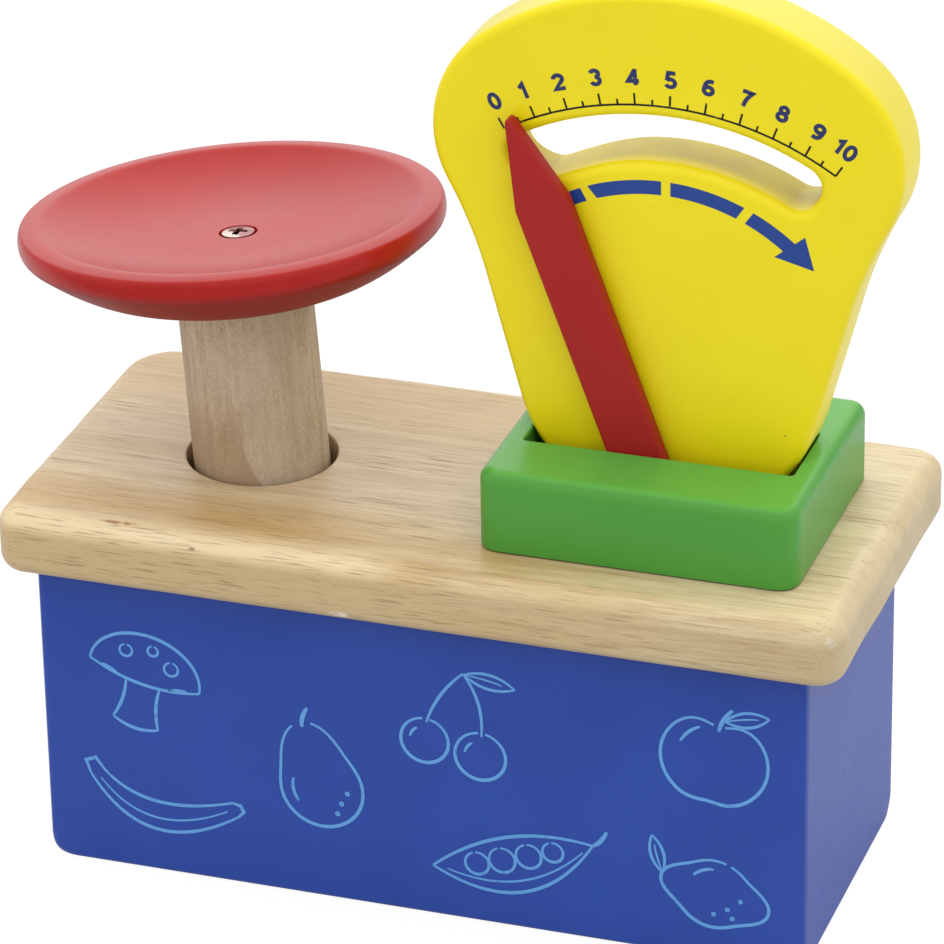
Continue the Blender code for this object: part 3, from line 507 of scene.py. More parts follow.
def dowel_wood(here, pale, tan, grey, brown):
    """The post's bare wood: upright fibre, a fine mottle, and a darker heartwood patch low on the front.

    The patch ends to the right along a line that curves in as it rises, and it fades out upwards.
    """
    leaning = here.moved((1, 1, 1), (0, 0, 0), (math.radians(3.4), math.radians(5.3), 0))
    blotch = leaning.noise((210, 210, 70), 3, 0.6)
    streak = leaning.noise((500, 500, 14), 3, 0.6)
    speck = leaning.noise((1900, 1900, 900), 2, 0.6)
    grey_side = leaning.noise((60, 60, 22), 2, 0.5, (0.3, 0.8, 0.2)).rise(0.4, 0.62)
    share = (blotch - 0.5) * 1.5 + streak - 0.5 + (speck - 0.5) * 1.3 + 0.5
    height = here.along((0, 0, 1000))
    across = here.along((945, 327, 0)) + 53.6
    sink = (112 - height).most(0) * 0.118
    border = sink ** 1.5 * 3.4 - 3.9
    heart = (1 - (across - border).rise(-0.3, 0.3)) * (1 - height.rise(109, 128))
    colour = layered(share.rise(0, 1).blend(pale, tan), (grey_side * 0.5, grey), (heart * 0.58, brown))
    rough = 0.68 + (speck - 0.5) * 0.2
    return {"Base Color": colour, "Roughness": rough, "Normal": bump(streak * 0.5 + speck * 0.5, 0.05, 0.5)}


def window_tan_and_edge_sheen(here):
    """Tan on the window's walls, deeper towards their back and to the right, and a painted sheen, paler and greyer
    yellow, on the upper part of the outer edge: how much shows, and its colour.
    """
    x, back, z = here.place()
    x, z = x - SCALE_CENTRE[0], z - SCALE_CENTRE[1]
    reach = (x * x + z * z) ** 0.5
    within = reach.rise(63.4, 64.6) * (1 - reach.rise(77.4, 78.4)) * (1 - (x * x).rise(1600, 1850))
    deep = back.rise(-9.6, -3) * (1 - back.rise(6, 6.9))
    patchy = here.noise((60, 160), 3).rise(0.3, 0.7)
    thin = within * deep * (patchy * 0.25 + x.rise(-35, 30) * 0.12 + 0.3)
    # Paler, greyer yellow on the upper part of the outer edge is a painted sheen.
    edge = back.rise(-9.6, -8.2) * (1 - back.rise(5, 6.5))
    painted_sheen = edge * (1 - within) * z.rise(62, 96) * 0.55
    return thin.most(painted_sheen), within.blend((206, 198, 96), (168, 151, 92))


def shaded_under(here):
    """Painted shade on the pan's underside and the lower part of its rim: how much of it there is, and its colour."""
    high, left, near = (here.along(tuple(1000 * axis)) - float(POST_AT @ axis) for axis in POST_AXES[[2, 0, 1]])
    reach = (left * left + near * near) ** 0.5
    flank = (1 - high.rise(59.5, 62)) * reach.rise(40, 45)
    return flank.most(1 - high.rise(54, 58)) * 0.5, (112, 6, 8)


def painted_top_light(here):
    """Painted light on the block's top face, paler green there: how much of it there is, and its colour."""
    return here.along((0, 0, 1000)).rise(123.2, 124.3) * 0.55, (100, 178, 74)


def paint(here, deep, light, roughness, peel=0.03, speck=None, shine=0.5, bare=None, dull=0):
    """Brushed paint on wood: faint mottling, a fine orange-peel bump, dust specks, and a place of another colour.

    The place can be duller too.
    """
    mottle = here.noise((28,), 4, 0.55)
    fine = here.noise((420,))
    grain = here.noise((30, 650))
    colour = mottle.rise(0.2, 0.8).blend(deep, light)
    rough = roughness + (mottle - 0.5) * 0.12 + (fine - 0.5) * 0.08
    if speck is not None:
        cell = here.node("TexVoronoi", {"Vector": here, "Scale": 85}, "Distance")
        tint = here.noise((60,), 1, 0.5, (3, 1, 2)).rise(0.52, 0.6)
        dust = (1 - cell.rise(0.02, 0.045)) * tint
        colour = (dust * 0.75).blend(colour, speck)
    # The other colour is painted shade under the pan, painted light on the block's top, and tan with a painted sheen
    # on the dial.
    if bare is not None:
        amount, under = bare(here)
        colour = amount.blend(colour, under)
        rough = rough + amount * dull
    height = fine * 0.7 + grain * 0.3
    normal = bump(height, peel, 0.6)
    return {"Base Color": colour, "Roughness": rough, "Normal": normal, "Specular IOR Level": shine}


def ink(here, colour, worn, wear):
    """Screen-printed ink, thinner in small patches."""
    thin = here.noise((900,)).rise(0.56, 0.66)
    patch = here.noise((90,)).rise(0.45, 0.7)
    return {"Base Color": (thin * patch * wear).blend(colour, worn), "Roughness": 0.5 + thin * 0.1}


def screw_recess(here):
    """Painted shade in the pan screw's cross: how much of it lies below the head's face."""
    high = here.along(tuple(1000 * POST_AXES[2])) - float(POST_AT @ POST_AXES[2])
    return 1 - high.rise(PAN_FLOOR - 0.35, PAN_FLOOR - 0.15)


def screw_shine(here):
    """A painted highlight: the bright part of the pan screw's face, towards its front left."""
    front_left = np.array((-0.67, -0.74, 0))
    middle = (POST_AT + PAN_FLOOR * POST_AXES[2]) @ front_left
    return (here.along(tuple(1000 * front_left)) - float(middle)).rise(0.7, 2)


def metal(here, colour, tarnished, painted_shade=None, bright=None):
    """Bright plated steel with fine scratches and a little tarnish, and where given a painted highlight and painted
    shade.
    """
    scratch = here.noise((2500, 260, 900))
    tarnish = here.noise((300,), 3).rise(0.45, 0.75)
    shade = (tarnish * 0.6).blend(colour, tarnished)
    # The bright place is a painted highlight, and the dark place in the screw's cross is painted shade.
    if bright is not None:
        shade = bright(here).blend(shade, (197, 183, 174))
    if painted_shade is not None:
        shade = (painted_shade(here) * 0.9).blend(shade, (40, 34, 34))
    rough = 0.24 + (scratch - 0.5) * 0.25 + tarnish * 0.12
    return {"Base Color": shade, "Metallic": 1, "Roughness": rough, "Normal": bump(scratch, 0.01, 0.4)}


BOARD_COLOURS = ((220, 203, 162), (188, 163, 121), (207, 184, 154), (192, 159, 104), (132, 98, 64), (156, 134, 96))
BOARD_WOOD = finish("board_wood", board_wood, *BOARD_COLOURS)
POST_WOOD = finish("post_wood", dowel_wood, (206, 186, 158), (168, 143, 114), (182, 164, 140), (156, 124, 90))
INNER_WOOD = finish("inner_wood", wood, (208, 182, 138), (186, 156, 110), (190, 160, 122), (130, 96, 60), 0.4)
UPRIGHT = (0, math.radians(90), 0)
PEG_WOOD = finish("peg_wood", wood, (206, 178, 134), (184, 152, 106), (190, 160, 120), (130, 96, 60), 0.6, UPRIGHT)
BLUE = finish("blue_paint", paint, (24, 62, 153), (32, 68, 161), 0.38, shine=0.42)
# The red is darker under the pan: painted shade.
RED = finish(
    "red_paint", paint, (160, 19, 14), (169, 25, 19), 0.3, peel=0.006, shine=0.33, bare=shaded_under, dull=0.5
)
POINTER_RED = finish("pointer_paint", paint, (158, 22, 21), (166, 27, 25), 0.5, shine=0.3)
# The yellow is tan on the window's walls, with a painted sheen on the dial's upper edge.
YELLOW = finish(
    "yellow_paint", paint, (230, 211, 12), (236, 218, 17), 0.36, speck=(150, 130, 50), shine=0.34, bare=window_tan_and_edge_sheen
)
# The green is paler on the block's top: painted light.
GREEN = finish("green_paint", paint, (72, 146, 54), (80, 152, 60), 0.3, shine=0.3, bare=painted_top_light)
STEEL = finish("zinc_steel", metal, (186, 184, 186), (150, 148, 150))
# The pan screw's steel is tinted red: a painted reflection of the pan around it.
SCREW_STEEL = finish("screw_steel", metal, (160, 112, 112), (129, 89, 89), screw_recess, screw_shine)
NUMBER_INK = finish("number_ink", ink, (33, 46, 100), (140, 136, 70), 0.4)
TICK_INK = finish("tick_ink", ink, (16, 14, 16), (170, 158, 50), 0.5)
ARROW_INK = finish("arrow_ink", ink, (20, 62, 142), (50, 84, 138), 0.4)
LINE_INK = finish("line_ink", ink, (92, 154, 216), (56, 100, 188), 0.7)


# Pieces


def sanded_corners(points, reach):
    """The box's four lower corners sanded off.

    With s the sum of a point's distances from a corner's three faces, points nearer than the reach move in evenly
    along all three, to the sum s + (reach - s)^2 / (2 reach).
    """
    inward = np.concatenate((BOX_HALF - np.abs(points[:, :2] - BOX_MIDDLE), points[:, 2:]), 1)
    near = np.clip(reach - inward.sum(1, keepdims=True), 0, reach)
    way = np.concatenate((-np.sign(points[:, :2] - BOX_MIDDLE), np.ones((len(points), 1))), 1)
    return points + way * near ** 2 / (6 * reach)


def make_box():
    """The four painted walls as one shell round the cavity."""
    outline = rounded_rectangle(BOX_MIDDLE, BOX_HALF, BOX_ROUND, 1)
    cavity = rounded_rectangle(BOX_MIDDLE, BOX_HALF - WALL, 0.4, 1.5)
    low_rings = np.arange(2.2, 9, 0.6)
    points, faces = plate(outline, [cavity], 0, BOX_HEIGHT, BOX_ROUND, round_high=0.3, between=low_rings)
    surface = (sanded_corners(points, reach=8), faces)
    walls = ("front_wall", "back_wall", "left_wall", "right_wall")
    piece("box_walls", surface, BLUE, "case", walls)


def make_board():
    """The top board, with its loose hole for the post and its slot for the pointer's tail.

    Its edge is sanded by hand: the outline and the edge's radius waver, most of all at the right end.
    """
    outline = leftward(rounded_rectangle((0, 0), BOARD_HALF, BOARD_CORNERS, 1))
    count = len(outline)
    right = ramp(outline[:, 0], 92, 106)
    hand = ripple(count, ((13, 0.4, 0.4), (23, 0.3, 2.1)))
    worn = ripple(count, ((17, 0.5, 1), (29, 0.4, 3.3), (53, 0.15, 5.2)))
    outline = outline - outward(outline) * ((0.1 + 0.12 * right) * (1 + hand))[:, None]
    edge = BOARD_ROUND + worn * (0.25 + 0.3 * right) + 1.1 * right * (1 - ramp(outline[:, 1], 8, 14))
    hole = evenly(ring(HOLE_AT, HOLE_RADIUS, HOLE_RADIUS, 180), 0.8)
    slot_middle, slot_half, slot_round = (52.9, -13.7), (17.9, 3.3), 3.25
    slot = rounded_rectangle(slot_middle, slot_half, slot_round, 0.6)
    surface = plate(outline, [hole, slot], BOARD_LOW, BOARD_TOP, BOARD_ROUND, edge, hole_low=0.5, hole_high=0.5)
    piece("top_board_sanded", surface, BOARD_WOOD, "case", ("top_board",))


def make_post():
    """The post, a plain turned rod with eased ends."""
    head_ease, foot_ease = 0.8, 1.5
    head = arc((POST_HEAD_RADIUS - head_ease, POST_HEAD - head_ease), head_ease, 0, 90, 6)
    foot = arc((POST_FOOT_RADIUS - foot_ease, POST_FOOT + foot_ease), foot_ease, 90, 180, 6)
    profile = np.vstack((((0, POST_HEAD),), head, foot, ((0, POST_FOOT),)))
    surface = placed(turned(profile, 96), POST_AT, POST_AXES)
    piece("post_turned", surface, POST_WOOD, "post", ("post",))


def make_pan():
    """The painted pan: a dished floor, a rounded rim and a flared base, turned about a centre beside the screw.

    The dish rises from its flat middle as the share of the way to the rim to the power 2.4. The rim is a gently
    rounded band and a tighter corner, both quadratic curves, above part of a circle made squarer: its sine and cosine
    are raised to the power 0.84.
    """
    angle = np.radians(np.linspace(0, -50, 12))
    turn = np.stack((np.cos(angle), np.sin(angle)), 1)
    side = (RIM_CENTRE, RIM_HEIGHT) + RIM_RADIUS * np.sign(turn) * np.abs(turn) ** 0.84
    crest = RIM_HEIGHT + RIM_RADIUS + 0.2
    band = bezier((48, crest - 0.5), (49.6, crest - 0.15), (52.7, crest - 0.85), 14)
    corner = bezier(band[-1], (53.75, crest - 1.09), side[0] + (0, 0.5), 14)
    edge = np.vstack((band, corner[1:], side))
    share = np.linspace(0, 1, 40)[:-1, None]
    flat = np.array((10, PAN_FLOOR))
    dish = flat + np.hstack((share, share ** 2.4)) * (edge[0] - flat)
    flare = bezier(edge[-1], (42.7, 50.9), (35.1, PAN_BASE), 20)
    seat = np.array(((4.95, PAN_FLOOR),))
    bore = np.array(((2.3, PAN_BASE), (2.3, 56), (4.4, 58), (4.75, 58.4)))
    beside = np.vstack((dish, edge, flare[1:]))
    profile = np.vstack((seat, beside, bore, seat))
    shift = np.zeros((len(profile), 1, 3))
    shift[1 : len(beside) + 1] = PAN_SHIFT
    surface = placed(turned(profile, 160, shift), POST_AT, POST_AXES)
    piece("pan_turned", surface, RED, "post", ("weighing_pan",))


def screw_surface(head, shank, length):
    """A countersunk screw: a turned outside under a domed head with a cross recess.

    The recess depth is the larger of two arms' depths, each full within half an arm's width and none beyond it.
    """
    radius = np.concatenate((np.linspace(0, 1, 26) * head, (head,)))[:, None]
    angle = around(96)[None] + 0.5
    reach, half, lip = 0.64 * head, 0.19 * head, -0.4

    def arm(along, across):
        wide = np.clip((half - np.abs(across)) / (0.25 * half), 0, 1)
        return wide * np.clip((reach - np.abs(along)) / (0.3 * reach), 0, 1)

    def rings(radius, height):
        return np.stack((radius * np.cos(angle), radius * np.sin(angle), height + 0 * angle), -1)

    x, y = radius * np.cos(angle), radius * np.sin(angle)
    dome = 0.1 * head * (1 - (radius / head) ** 2) - 0.35 * head * np.maximum(arm(x, y), arm(y, x))
    dome[-1] = lip
    under = np.array(((shank, lip - head + shank), (shank, 3 - length), (0, -length)))
    points = np.concatenate((rings(radius, dome), rings(under[:, :1], under[:, 1:])))
    return points.reshape(-1, 3), quads(len(points), 96).tolist()


def make_screws():
    """The pan's screw and the four under the box, with cross recesses."""
    surface = screw_surface(head=4.1, shank=2, length=36)
    surface = placed(surface, POST_AT + PAN_FLOOR * POST_AXES[2], POST_AXES)
    piece("pan_screw_cross", surface, SCREW_STEEL, "post", ("pan_screw",), 25)
    surface = screw_surface(head=3.1, shank=1.5, length=14)
    for number in range(1, 5):
        low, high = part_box(f"bottom_screw_{number}")
        middle = (low + high) / 2 / MM
        lower = placed(surface, (middle.x, middle.y, 0.3), np.diag((1, -1, -1)))
        piece(f"bottom_screw_cross_{number}", lower, STEEL, "case", (f"bottom_screw_{number}",), 25)


def make_block():
    """The dial's block, with the slot that the dial and the pointer stand in."""
    middle, half, corners = (BLOCK_LOW + BLOCK_HIGH) / 2, (BLOCK_HIGH - BLOCK_LOW) / 2, (4.2, 5.7, 5.7, 5.7)
    slot_middle, slot_half, slot_round = (DIAL_X, -4.4), (34.5, 12.3), 0.4
    outline = rounded_rectangle(middle, half, corners, 0.9)
    slot = rounded_rectangle(slot_middle, slot_half, slot_round, 0.9)
    low = BOARD_TOP + 0.3
    surface = plate(outline, [slot], low, BLOCK_TOP, round_low=0.4, round_high=3.3, hole_low=0.6, hole_high=0.6)
    piece("dial_block_shaped", surface, GREEN, "case", ("dial_block",))


def dial_outline():
    """The dial's outline: crown arc, shoulder arcs, hollow flanks, rounded lower corners and a straight foot.

    The crown's radius is the one for which its arc meets both shoulder arcs smoothly.
    """
    rise = DIAL_TOP - SHOULDER[1]
    crown = (SHOULDER[0] ** 2 + rise ** 2 - SHOULDER_RADIUS ** 2) / (2 * (rise - SHOULDER_RADIUS))
    turn = math.degrees(math.atan2(SHOULDER[0], SHOULDER[1] - DIAL_TOP + crown))
    slope = math.radians(FLANK_SLOPE)
    flank = SHOULDER + (SHOULDER_RADIUS + FLANK_RADIUS) * np.array((math.cos(slope), -math.sin(slope)))
    half = (
        arc((0, DIAL_TOP - crown), crown, 0, turn, 60),
        arc(SHOULDER, SHOULDER_RADIUS, turn, FLANK_SLOPE + 90, 60),
        arc(flank, FLANK_RADIUS, FLANK_SLOPE - 90, FLANK_END, 40),
        arc(FOOT_CURVE, FOOT_CURVE_RADIUS, FLANK_END + 180, FOOT_CURVE_END, 30),
        ((FOOT_HALF_WIDTH, DIAL_FOOT),),
    )
    return mirrored(np.vstack(half))


def window_outline():
    """The curved window: two arcs about the scale's centre, joined by a quarter circle at each of its four corners.

    Towards its left end the lower arc dips a little below its radius.
    """
    left, right, low, high = -31.8, 33, 64.9, 76.75
    corners = (
        (4.6, high, left, -90),
        (5.6, high, right, 0),
        (5.6, low, right, 90),
        (7.2, low, left, 180),
    )
    parts, ends = [], []
    for corner, edge, end, first in corners:
        radius = edge + math.copysign(corner, (low + high) / 2 - edge)
        angle = end - math.copysign(math.degrees(math.asin(corner / radius)), end)
        parts.append(arc(on_scale(radius, angle), corner, angle + first, angle + first + 90, 14))
        ends.append(angle)
    parts.insert(1, arc(SCALE_CENTRE, high, ends[0], ends[1], 60)[1:-1])
    parts.insert(4, arc(SCALE_CENTRE, low, ends[2], ends[3], 60)[1:-1])
    line = np.vstack(parts) - SCALE_CENTRE
    away = np.linalg.norm(line, axis=1)
    leftwards = -np.degrees(np.arctan2(line[:, 0], line[:, 1]))
    dip = 0.95 * ramp(leftwards, 5, 23) * (1 - ramp(leftwards, 27, 32)) * (1 - ramp(away, 66, 71))
    return SCALE_CENTRE + line * (1 - dip / away)[:, None]


def make_dial():
    """The dial board with its curved window."""
    outline = evenly(dial_outline(), 1)
    window = evenly(window_outline() - (DIAL_X, 0), 0.8)
    surface = plate(
        outline, [window], -DIAL_BACK, -DIAL_FRONT, round_low=2.6, round_high=2.2, hole_low=1.6, hole_high=2.4
    )
    surface = placed(surface, (DIAL_X, 0, 0), UPRIGHT_AXES)
    piece("dial_board_sanded", surface, YELLOW, "case", ("dial_board",))


def make_pointer():
    """The pointer, leaning to zero about its pivot, with its two pin holes. Its tip bends a little to the left."""
    tip, tip_round, shoulder = np.array((0, 107.4)), 1, np.array((7, 85.3))
    drive_hole, tail_round = (0, -58.5), 6
    lean = math.degrees(math.atan2(shoulder[0] - tip_round, tip[1] - shoulder[1]))
    half = (
        arc(tip, tip_round, 0, 90 - lean, 12),
        (shoulder, (6.9, -6.9), (tail_round, -13.8)),
        arc(drive_hole, tail_round, 90, 180, 16),
    )
    outline = mirrored(np.vstack(half))
    outline[:, 0] -= 0.4 * ramp(outline[:, 1], 85, 108)
    outline = evenly(outline, 0.7)
    holes = [evenly(ring(at, radius, radius, 39), 0.6) for at, radius in (((0, 0), 2.3), (drive_hole, 3.3))]
    surface = plate(outline, holes, -POINTER_BACK, -POINTER_FRONT, 0.7, 0.7, hole_low=0.2, hole_high=0.2)
    across = (math.cos(POINTER_LEAN), 0, math.sin(POINTER_LEAN))
    along = (-math.sin(POINTER_LEAN), 0, math.cos(POINTER_LEAN))
    axes = np.array((across, along, (0, -1, 0)))
    surface = placed(surface, (DIAL_X, 0, PIVOT_HEIGHT), axes)
    piece("pointer_shaped", surface, POINTER_RED, "pointer", ("pointer",))


def make_spring():
    """The return spring: a round wire carried along a helix with short upright ends."""
    turns, radius, wire = 7, 8.2, 0.8
    share = np.linspace(0, 1, 40 * turns + 1)
    angle = 2 * np.pi * turns * share
    height = SPRING_LOW + 2 * wire + (SPRING_HIGH - SPRING_LOW - 4 * wire) * share
    line = np.stack((SPRING_AT[0] + radius * np.cos(angle), SPRING_AT[1] + radius * np.sin(angle), height), 1)
    ends = np.array([(SPRING_AT[0] + radius, SPRING_AT[1], end) for end in (SPRING_LOW, SPRING_HIGH)])
    line = np.vstack((ends[:1], line, ends[1:]))
    out = np.stack((np.cos(angle), np.sin(angle), 0 * angle), 1)
    out = np.vstack((out[:1], out, out[-1:]))
    side = unit(np.cross(unit(np.gradient(line, axis=0)), out))
    sides = 12
    turn = around(sides)[None, :, None]
    rings = line[:, None] + wire * (np.cos(turn) * out[:, None] + np.sin(turn) * side[:, None])
    last = (len(line) - 1) * sides
    faces = quads(len(line), sides).tolist() + [list(range(sides)), list(range(last, last + sides))]
    spring = piece("spring_wire", (rings.reshape(-1, 3), faces), STEEL, "case", ("return_spring",))
    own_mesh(spring)


def carried_over():
    """Finishes of the solids that stay as they are."""
    looks = (
        (INNER_WOOD, ("bottom_panel", "front_cleat", "back_cleat", "lift_platform", "cam_bar")),
        (PEG_WOOD, ("guide_dowel_1", "guide_dowel_2", "spring_peg", "stop_pin")),
        (PEG_WOOD, tuple(f"board_dowel_{n}" for n in range(1, 5))),
        (STEEL, ("pivot_pin", "drive_pin", "cam_bar_screw_1", "cam_bar_screw_2")),
        (STEEL, ("block_screw_1", "block_screw_2", "dial_screw_1", "dial_screw_2")),
    )
    for look, names in looks:
        for name in names:
            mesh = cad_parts[name].data
            mesh.materials.clear()
            mesh.materials.append(look)


# Prints


# The scale: angles in degrees from straight up, and radii about its centre
ZERO_ANGLE, UNIT_ANGLE = -29.6, 6.24
TICK_FOOT, HALF_TICK, WHOLE_TICK, NUMBER_RADIUS = 80, 81.5, 83, 87.2


def digit(figure):
    """The strokes of a figure one unit tall: straight runs, arcs and ellipses."""
    bowl = ring((0, 0.29), 0.22, 0.22)
    six = [bowl, bezier((-0.22, 0.29), (-0.22, 0.98), (0.2, 0.84))]
    strokes = (
        [ring((0, 0.5), 0.22, 0.42)],
        [np.array(((-0.17, 0.7), (0.06, 0.9), (0.06, 0)))],
        [np.vstack((arc((0, 0.68), 0.23, -80, 115, 18), ((-0.22, 0.09), (0.27, 0.09))))],
        [arc((-0.01, 0.71), 0.2, -70, 180, 18), arc((-0.01, 0.3), 0.22, 0, 250, 18)],
        [np.array(((0.3, 0.24), (-0.24, 0.24), (0.12, 0.92))), np.array(((0.12, 0.97), (0.12, 0)))],
        [np.array(((0.22, 0.91), (-0.13, 0.91), (-0.18, 0.44))), arc((-0.01, 0.3), 0.235, -50, 245, 24)],
        six,
        [np.vstack((((-0.25, 0.91),), bezier((0.24, 0.91), (-0.02, 0.55), (-0.07, 0), 12)))],
        [ring((0, 0.71), 0.18, 0.19), bowl],
        [(0, 1) - line for line in six],
    )
    return strokes[figure]


def on_dial(surface):
    """A surface drawn on the dial's face."""
    return placed(surface, (0, DIAL_FRONT, 0), UPRIGHT_AXES)


def tick_angle(value):
    """The angle of a value on the scale, in degrees from straight up."""
    return ZERO_ANGLE + UNIT_ANGLE * value


def on_scale(radius, angle):
    """The point at a radius and an angle about the scale's centre."""
    return arc(SCALE_CENTRE, radius, angle, angle, 1)[0]


def make_scale_print():
    """The scale's numbers, ticks and base line."""
    height, stroke, stretch = 4.25, 1.02, 1.18
    beside = {0: 1.3, 10: -2}
    strokes = []
    for value in range(11):
        up = on_scale(1, tick_angle(value)) - SCALE_CENTRE
        along = up[::-1] * (1, -1)
        middle = SCALE_CENTRE + NUMBER_RADIUS * up + beside.get(value, 0) * along
        figures = [(1, -1.5), (0, 1.5)] if value == 10 else [(value, 0)]
        for figure, shift in figures:
            for line in digit(figure):
                drawn = stretch * line[:, :1] * along + (line[:, 1:] - 0.5) * up
                strokes.append((middle + shift * along + height * drawn, stroke))
    piece("dial_numbers", on_dial(ribbons(strokes, 0.06)), NUMBER_INK, "case")

    ticks = [(arc(SCALE_CENTRE, TICK_FOOT, tick_angle(0.3), tick_angle(10), 80), 0.5)]
    for half in range(21):
        radii = (TICK_FOOT, HALF_TICK if half % 2 else WHOLE_TICK)
        ticks.append((np.array([on_scale(radius, tick_angle(half / 2)) for radius in radii]), 0.48))
    piece("dial_ticks", on_dial(ribbons(ticks, 0.05)), TICK_INK, "case")


def make_arrow():
    """The dashed arrow under the window: thick arcs whose ends are cut at a slant, and a straight-sided head."""
    outer, inner = 52, 48.4
    dashes = (
        ((-33, -23.2), (-33, -22.8)),
        ((-21, 0), (-19.5, 0)),
        ((2.6, 23.6), (2.8, 22.8)),
        ((26.4, 41.4), (25.7, 40.5)),
    )
    sides = [(arc(ARROW_CENTRE, outer, *far), arc(ARROW_CENTRE, inner, *near)) for far, near in dashes]
    share = np.linspace(0, 0.98, 12)[:, None]
    tip, barbs = np.array((91.15, 176.55)), np.array(((88.8, 185.1), (81.2, 179.1)))
    sides.append([barb + (tip - barb) * share for barb in barbs])
    piece("dial_arrow", on_dial(strips(sides, 0.05)), ARROW_INK, "case")


def brush(line, width=0.95):
    """A drawn line, thickest half way along: the width follows the middle of a half sine."""
    share = np.linspace(0.12, 0.88, len(line))
    return np.asarray(line), width * (0.45 + 0.55 * np.sin(np.pi * share))


def curve(start, pull, end, width=0.95, count=16):
    """A drawn quadratic curve."""
    return brush(bezier(start, pull, end, count), width)


def dots(places, radius, width):
    """Small drawn circles."""
    return [(ring(at, radius, radius, 10), width) for at in places]


def bulged(radius, bulges, start=8, end=352):
    """A fruit's outline: the radius times 1 plus the sum of size exp(-((a - at) / spread)^2).

    The angle a is in degrees from the top.
    """
    angle = np.linspace(start, end, 90)
    reach = radius * (1 + sum(size * np.exp(-(((angle - at) / spread) ** 2)) for at, size, spread in bulges))
    return reach[:, None] * np.stack((np.sin(np.radians(angle)), np.cos(np.radians(angle))), 1)


def leaf(base, tip, belly):
    """A leaf: two curves from its base to its tip, and a vein."""
    base, tip = np.asarray(base, float), np.asarray(tip, float)
    side = np.array((base[1] - tip[1], tip[0] - base[0])) * belly
    middle = (base + tip) / 2
    vein = curve(base, middle + 0.15 * side, base + 0.75 * (tip - base), 0.5)
    return [curve(base, middle + side, tip, 0.8), curve(base, middle - side, tip, 0.8), vein]


def apple():
    """An apple with a stalk and a leaf."""
    body = bulged(13, ((0, -0.26, 26), (360, -0.26, 26), (180, -0.1, 20))) * (1.06, 1)
    shine = arc((0, 0), 9.6, -72, -30, 12)
    stalk = curve((0, 8.4), (0.2, 12), (2.6, 15.2), 1.2)
    return [brush(body), brush(shine, 0.9), stalk, *leaf((1.2, 11.6), (12, 15.5), 0.35)]


def pear():
    """A pear with a stalk and a few freckles."""
    body = bulged(11, ((0, 0.72, 34), (360, 0.72, 34)))
    shine = arc((0, 0), 7.8, -110, -60, 12)
    stalk = curve((0, 17.6), (0.6, 20.6), (3, 22.6), 1.2)
    freckles = dots(((4, -5), (6.4, -2.4), (2, -7.6)), 0.45, 0.5)
    return [brush(body), brush(shine, 0.9), stalk, *freckles]


def cherries():
    """Two cherries on joined stalks, and a leaf."""
    lines = []
    for at, size in (((-7.6, -8), 6.6), ((7.8, -10.4), 7)):
        lines += [brush(arc(at, size, 12, 356, 50)), brush(arc(at, 0.62 * size, -80, -30, 10), 0.8)]
    for low, pull in (((-7, -2.4), (-4, 7)), ((8.2, -4.4), (9.2, 6))):
        lines.append(curve(low, pull, (3.4, 13.6), 0.85))
    return lines + leaf((3.6, 13.4), (17.6, 11), 0.3)


def pea_pod():
    """An open pod with a row of peas."""
    lines = [
        curve((-21, 1), (0, -18), (21, 3), count=40),
        curve((-21, 1), (0, 12), (21, 3), count=40),
        curve((-17.6, -0.2), (0, -10.5), (18, 1.4), 0.6, 40),
    ]
    for x, z, size in ((-9.6, 0.6, 3), (-3, 0.9, 3.3), (4, 1.4, 3.2), (10.4, 2, 2.6)):
        lines.append(brush(arc((x, z), size, 6, 354, 30), 0.8))
    return lines + [curve((21, 3), (23.4, 3.6), (25.4, 6.4), 1.2)]


def banana():
    """A banana with a ridge and two stubby ends."""
    return [
        curve((-19, 9), (-8, -17), (20, -3), count=40),
        curve((-15.2, 10.4), (-6, -3.6), (19, 1), count=40),
        curve((-16.4, 7.6), (-6.4, -10.4), (17, -1.6), 0.6, 40),
        brush(((-19, 9), (-19.6, 12.6), (-16.8, 13.4), (-15.2, 10.4))),
        brush(((20, -3), (21.6, -1.6), (21, 0.2), (19, 1)), 1),
    ]


def mushroom():
    """A mushroom with a domed cap, gills and a stout stalk."""
    cap = arc((0, 0), 1, -90, 90, 50) * (15, 11.5)
    lines = [brush(cap), curve((-15, 0), (0, -5.6), (15, 0), 0.9, 30)]
    for side in (-1, 1):
        lines.append(curve((4.6 * side, -2.6), (3.8 * side, -9), (6.2 * side, -14.5)))
        lines.append(curve((7 * side, -2), (9 * side, -0.8), (11.6 * side, -0.6), 0.6, 8))
    lines.append(curve((-6.2, -14.5), (0, -17.6), (6.2, -14.5)))
    for at, size in (((-6, 5.4), 1.7), ((1, 7.6), 1.4), ((6.6, 4.2), 1.9)):
        lines.append(brush(arc(at, size, 0, 340, 18), 0.7))
    return lines


def lemon():
    """A lemon with a tip at each end, dimples and a leaf."""
    body = bulged(9.6, ((90, 0.52, 27), (270, 0.46, 26)), 14, 366)
    shine = arc((0, 0), 7, -62, -14, 12)
    dimples = dots(((4.4, -3), (7, 0.6), (1.4, -5.6), (6.2, -5)), 0.4, 0.45)
    return [brush(body), brush(shine, 0.9), *dimples, *leaf((-13.8, 0.6), (-19, 10), 0.32)]


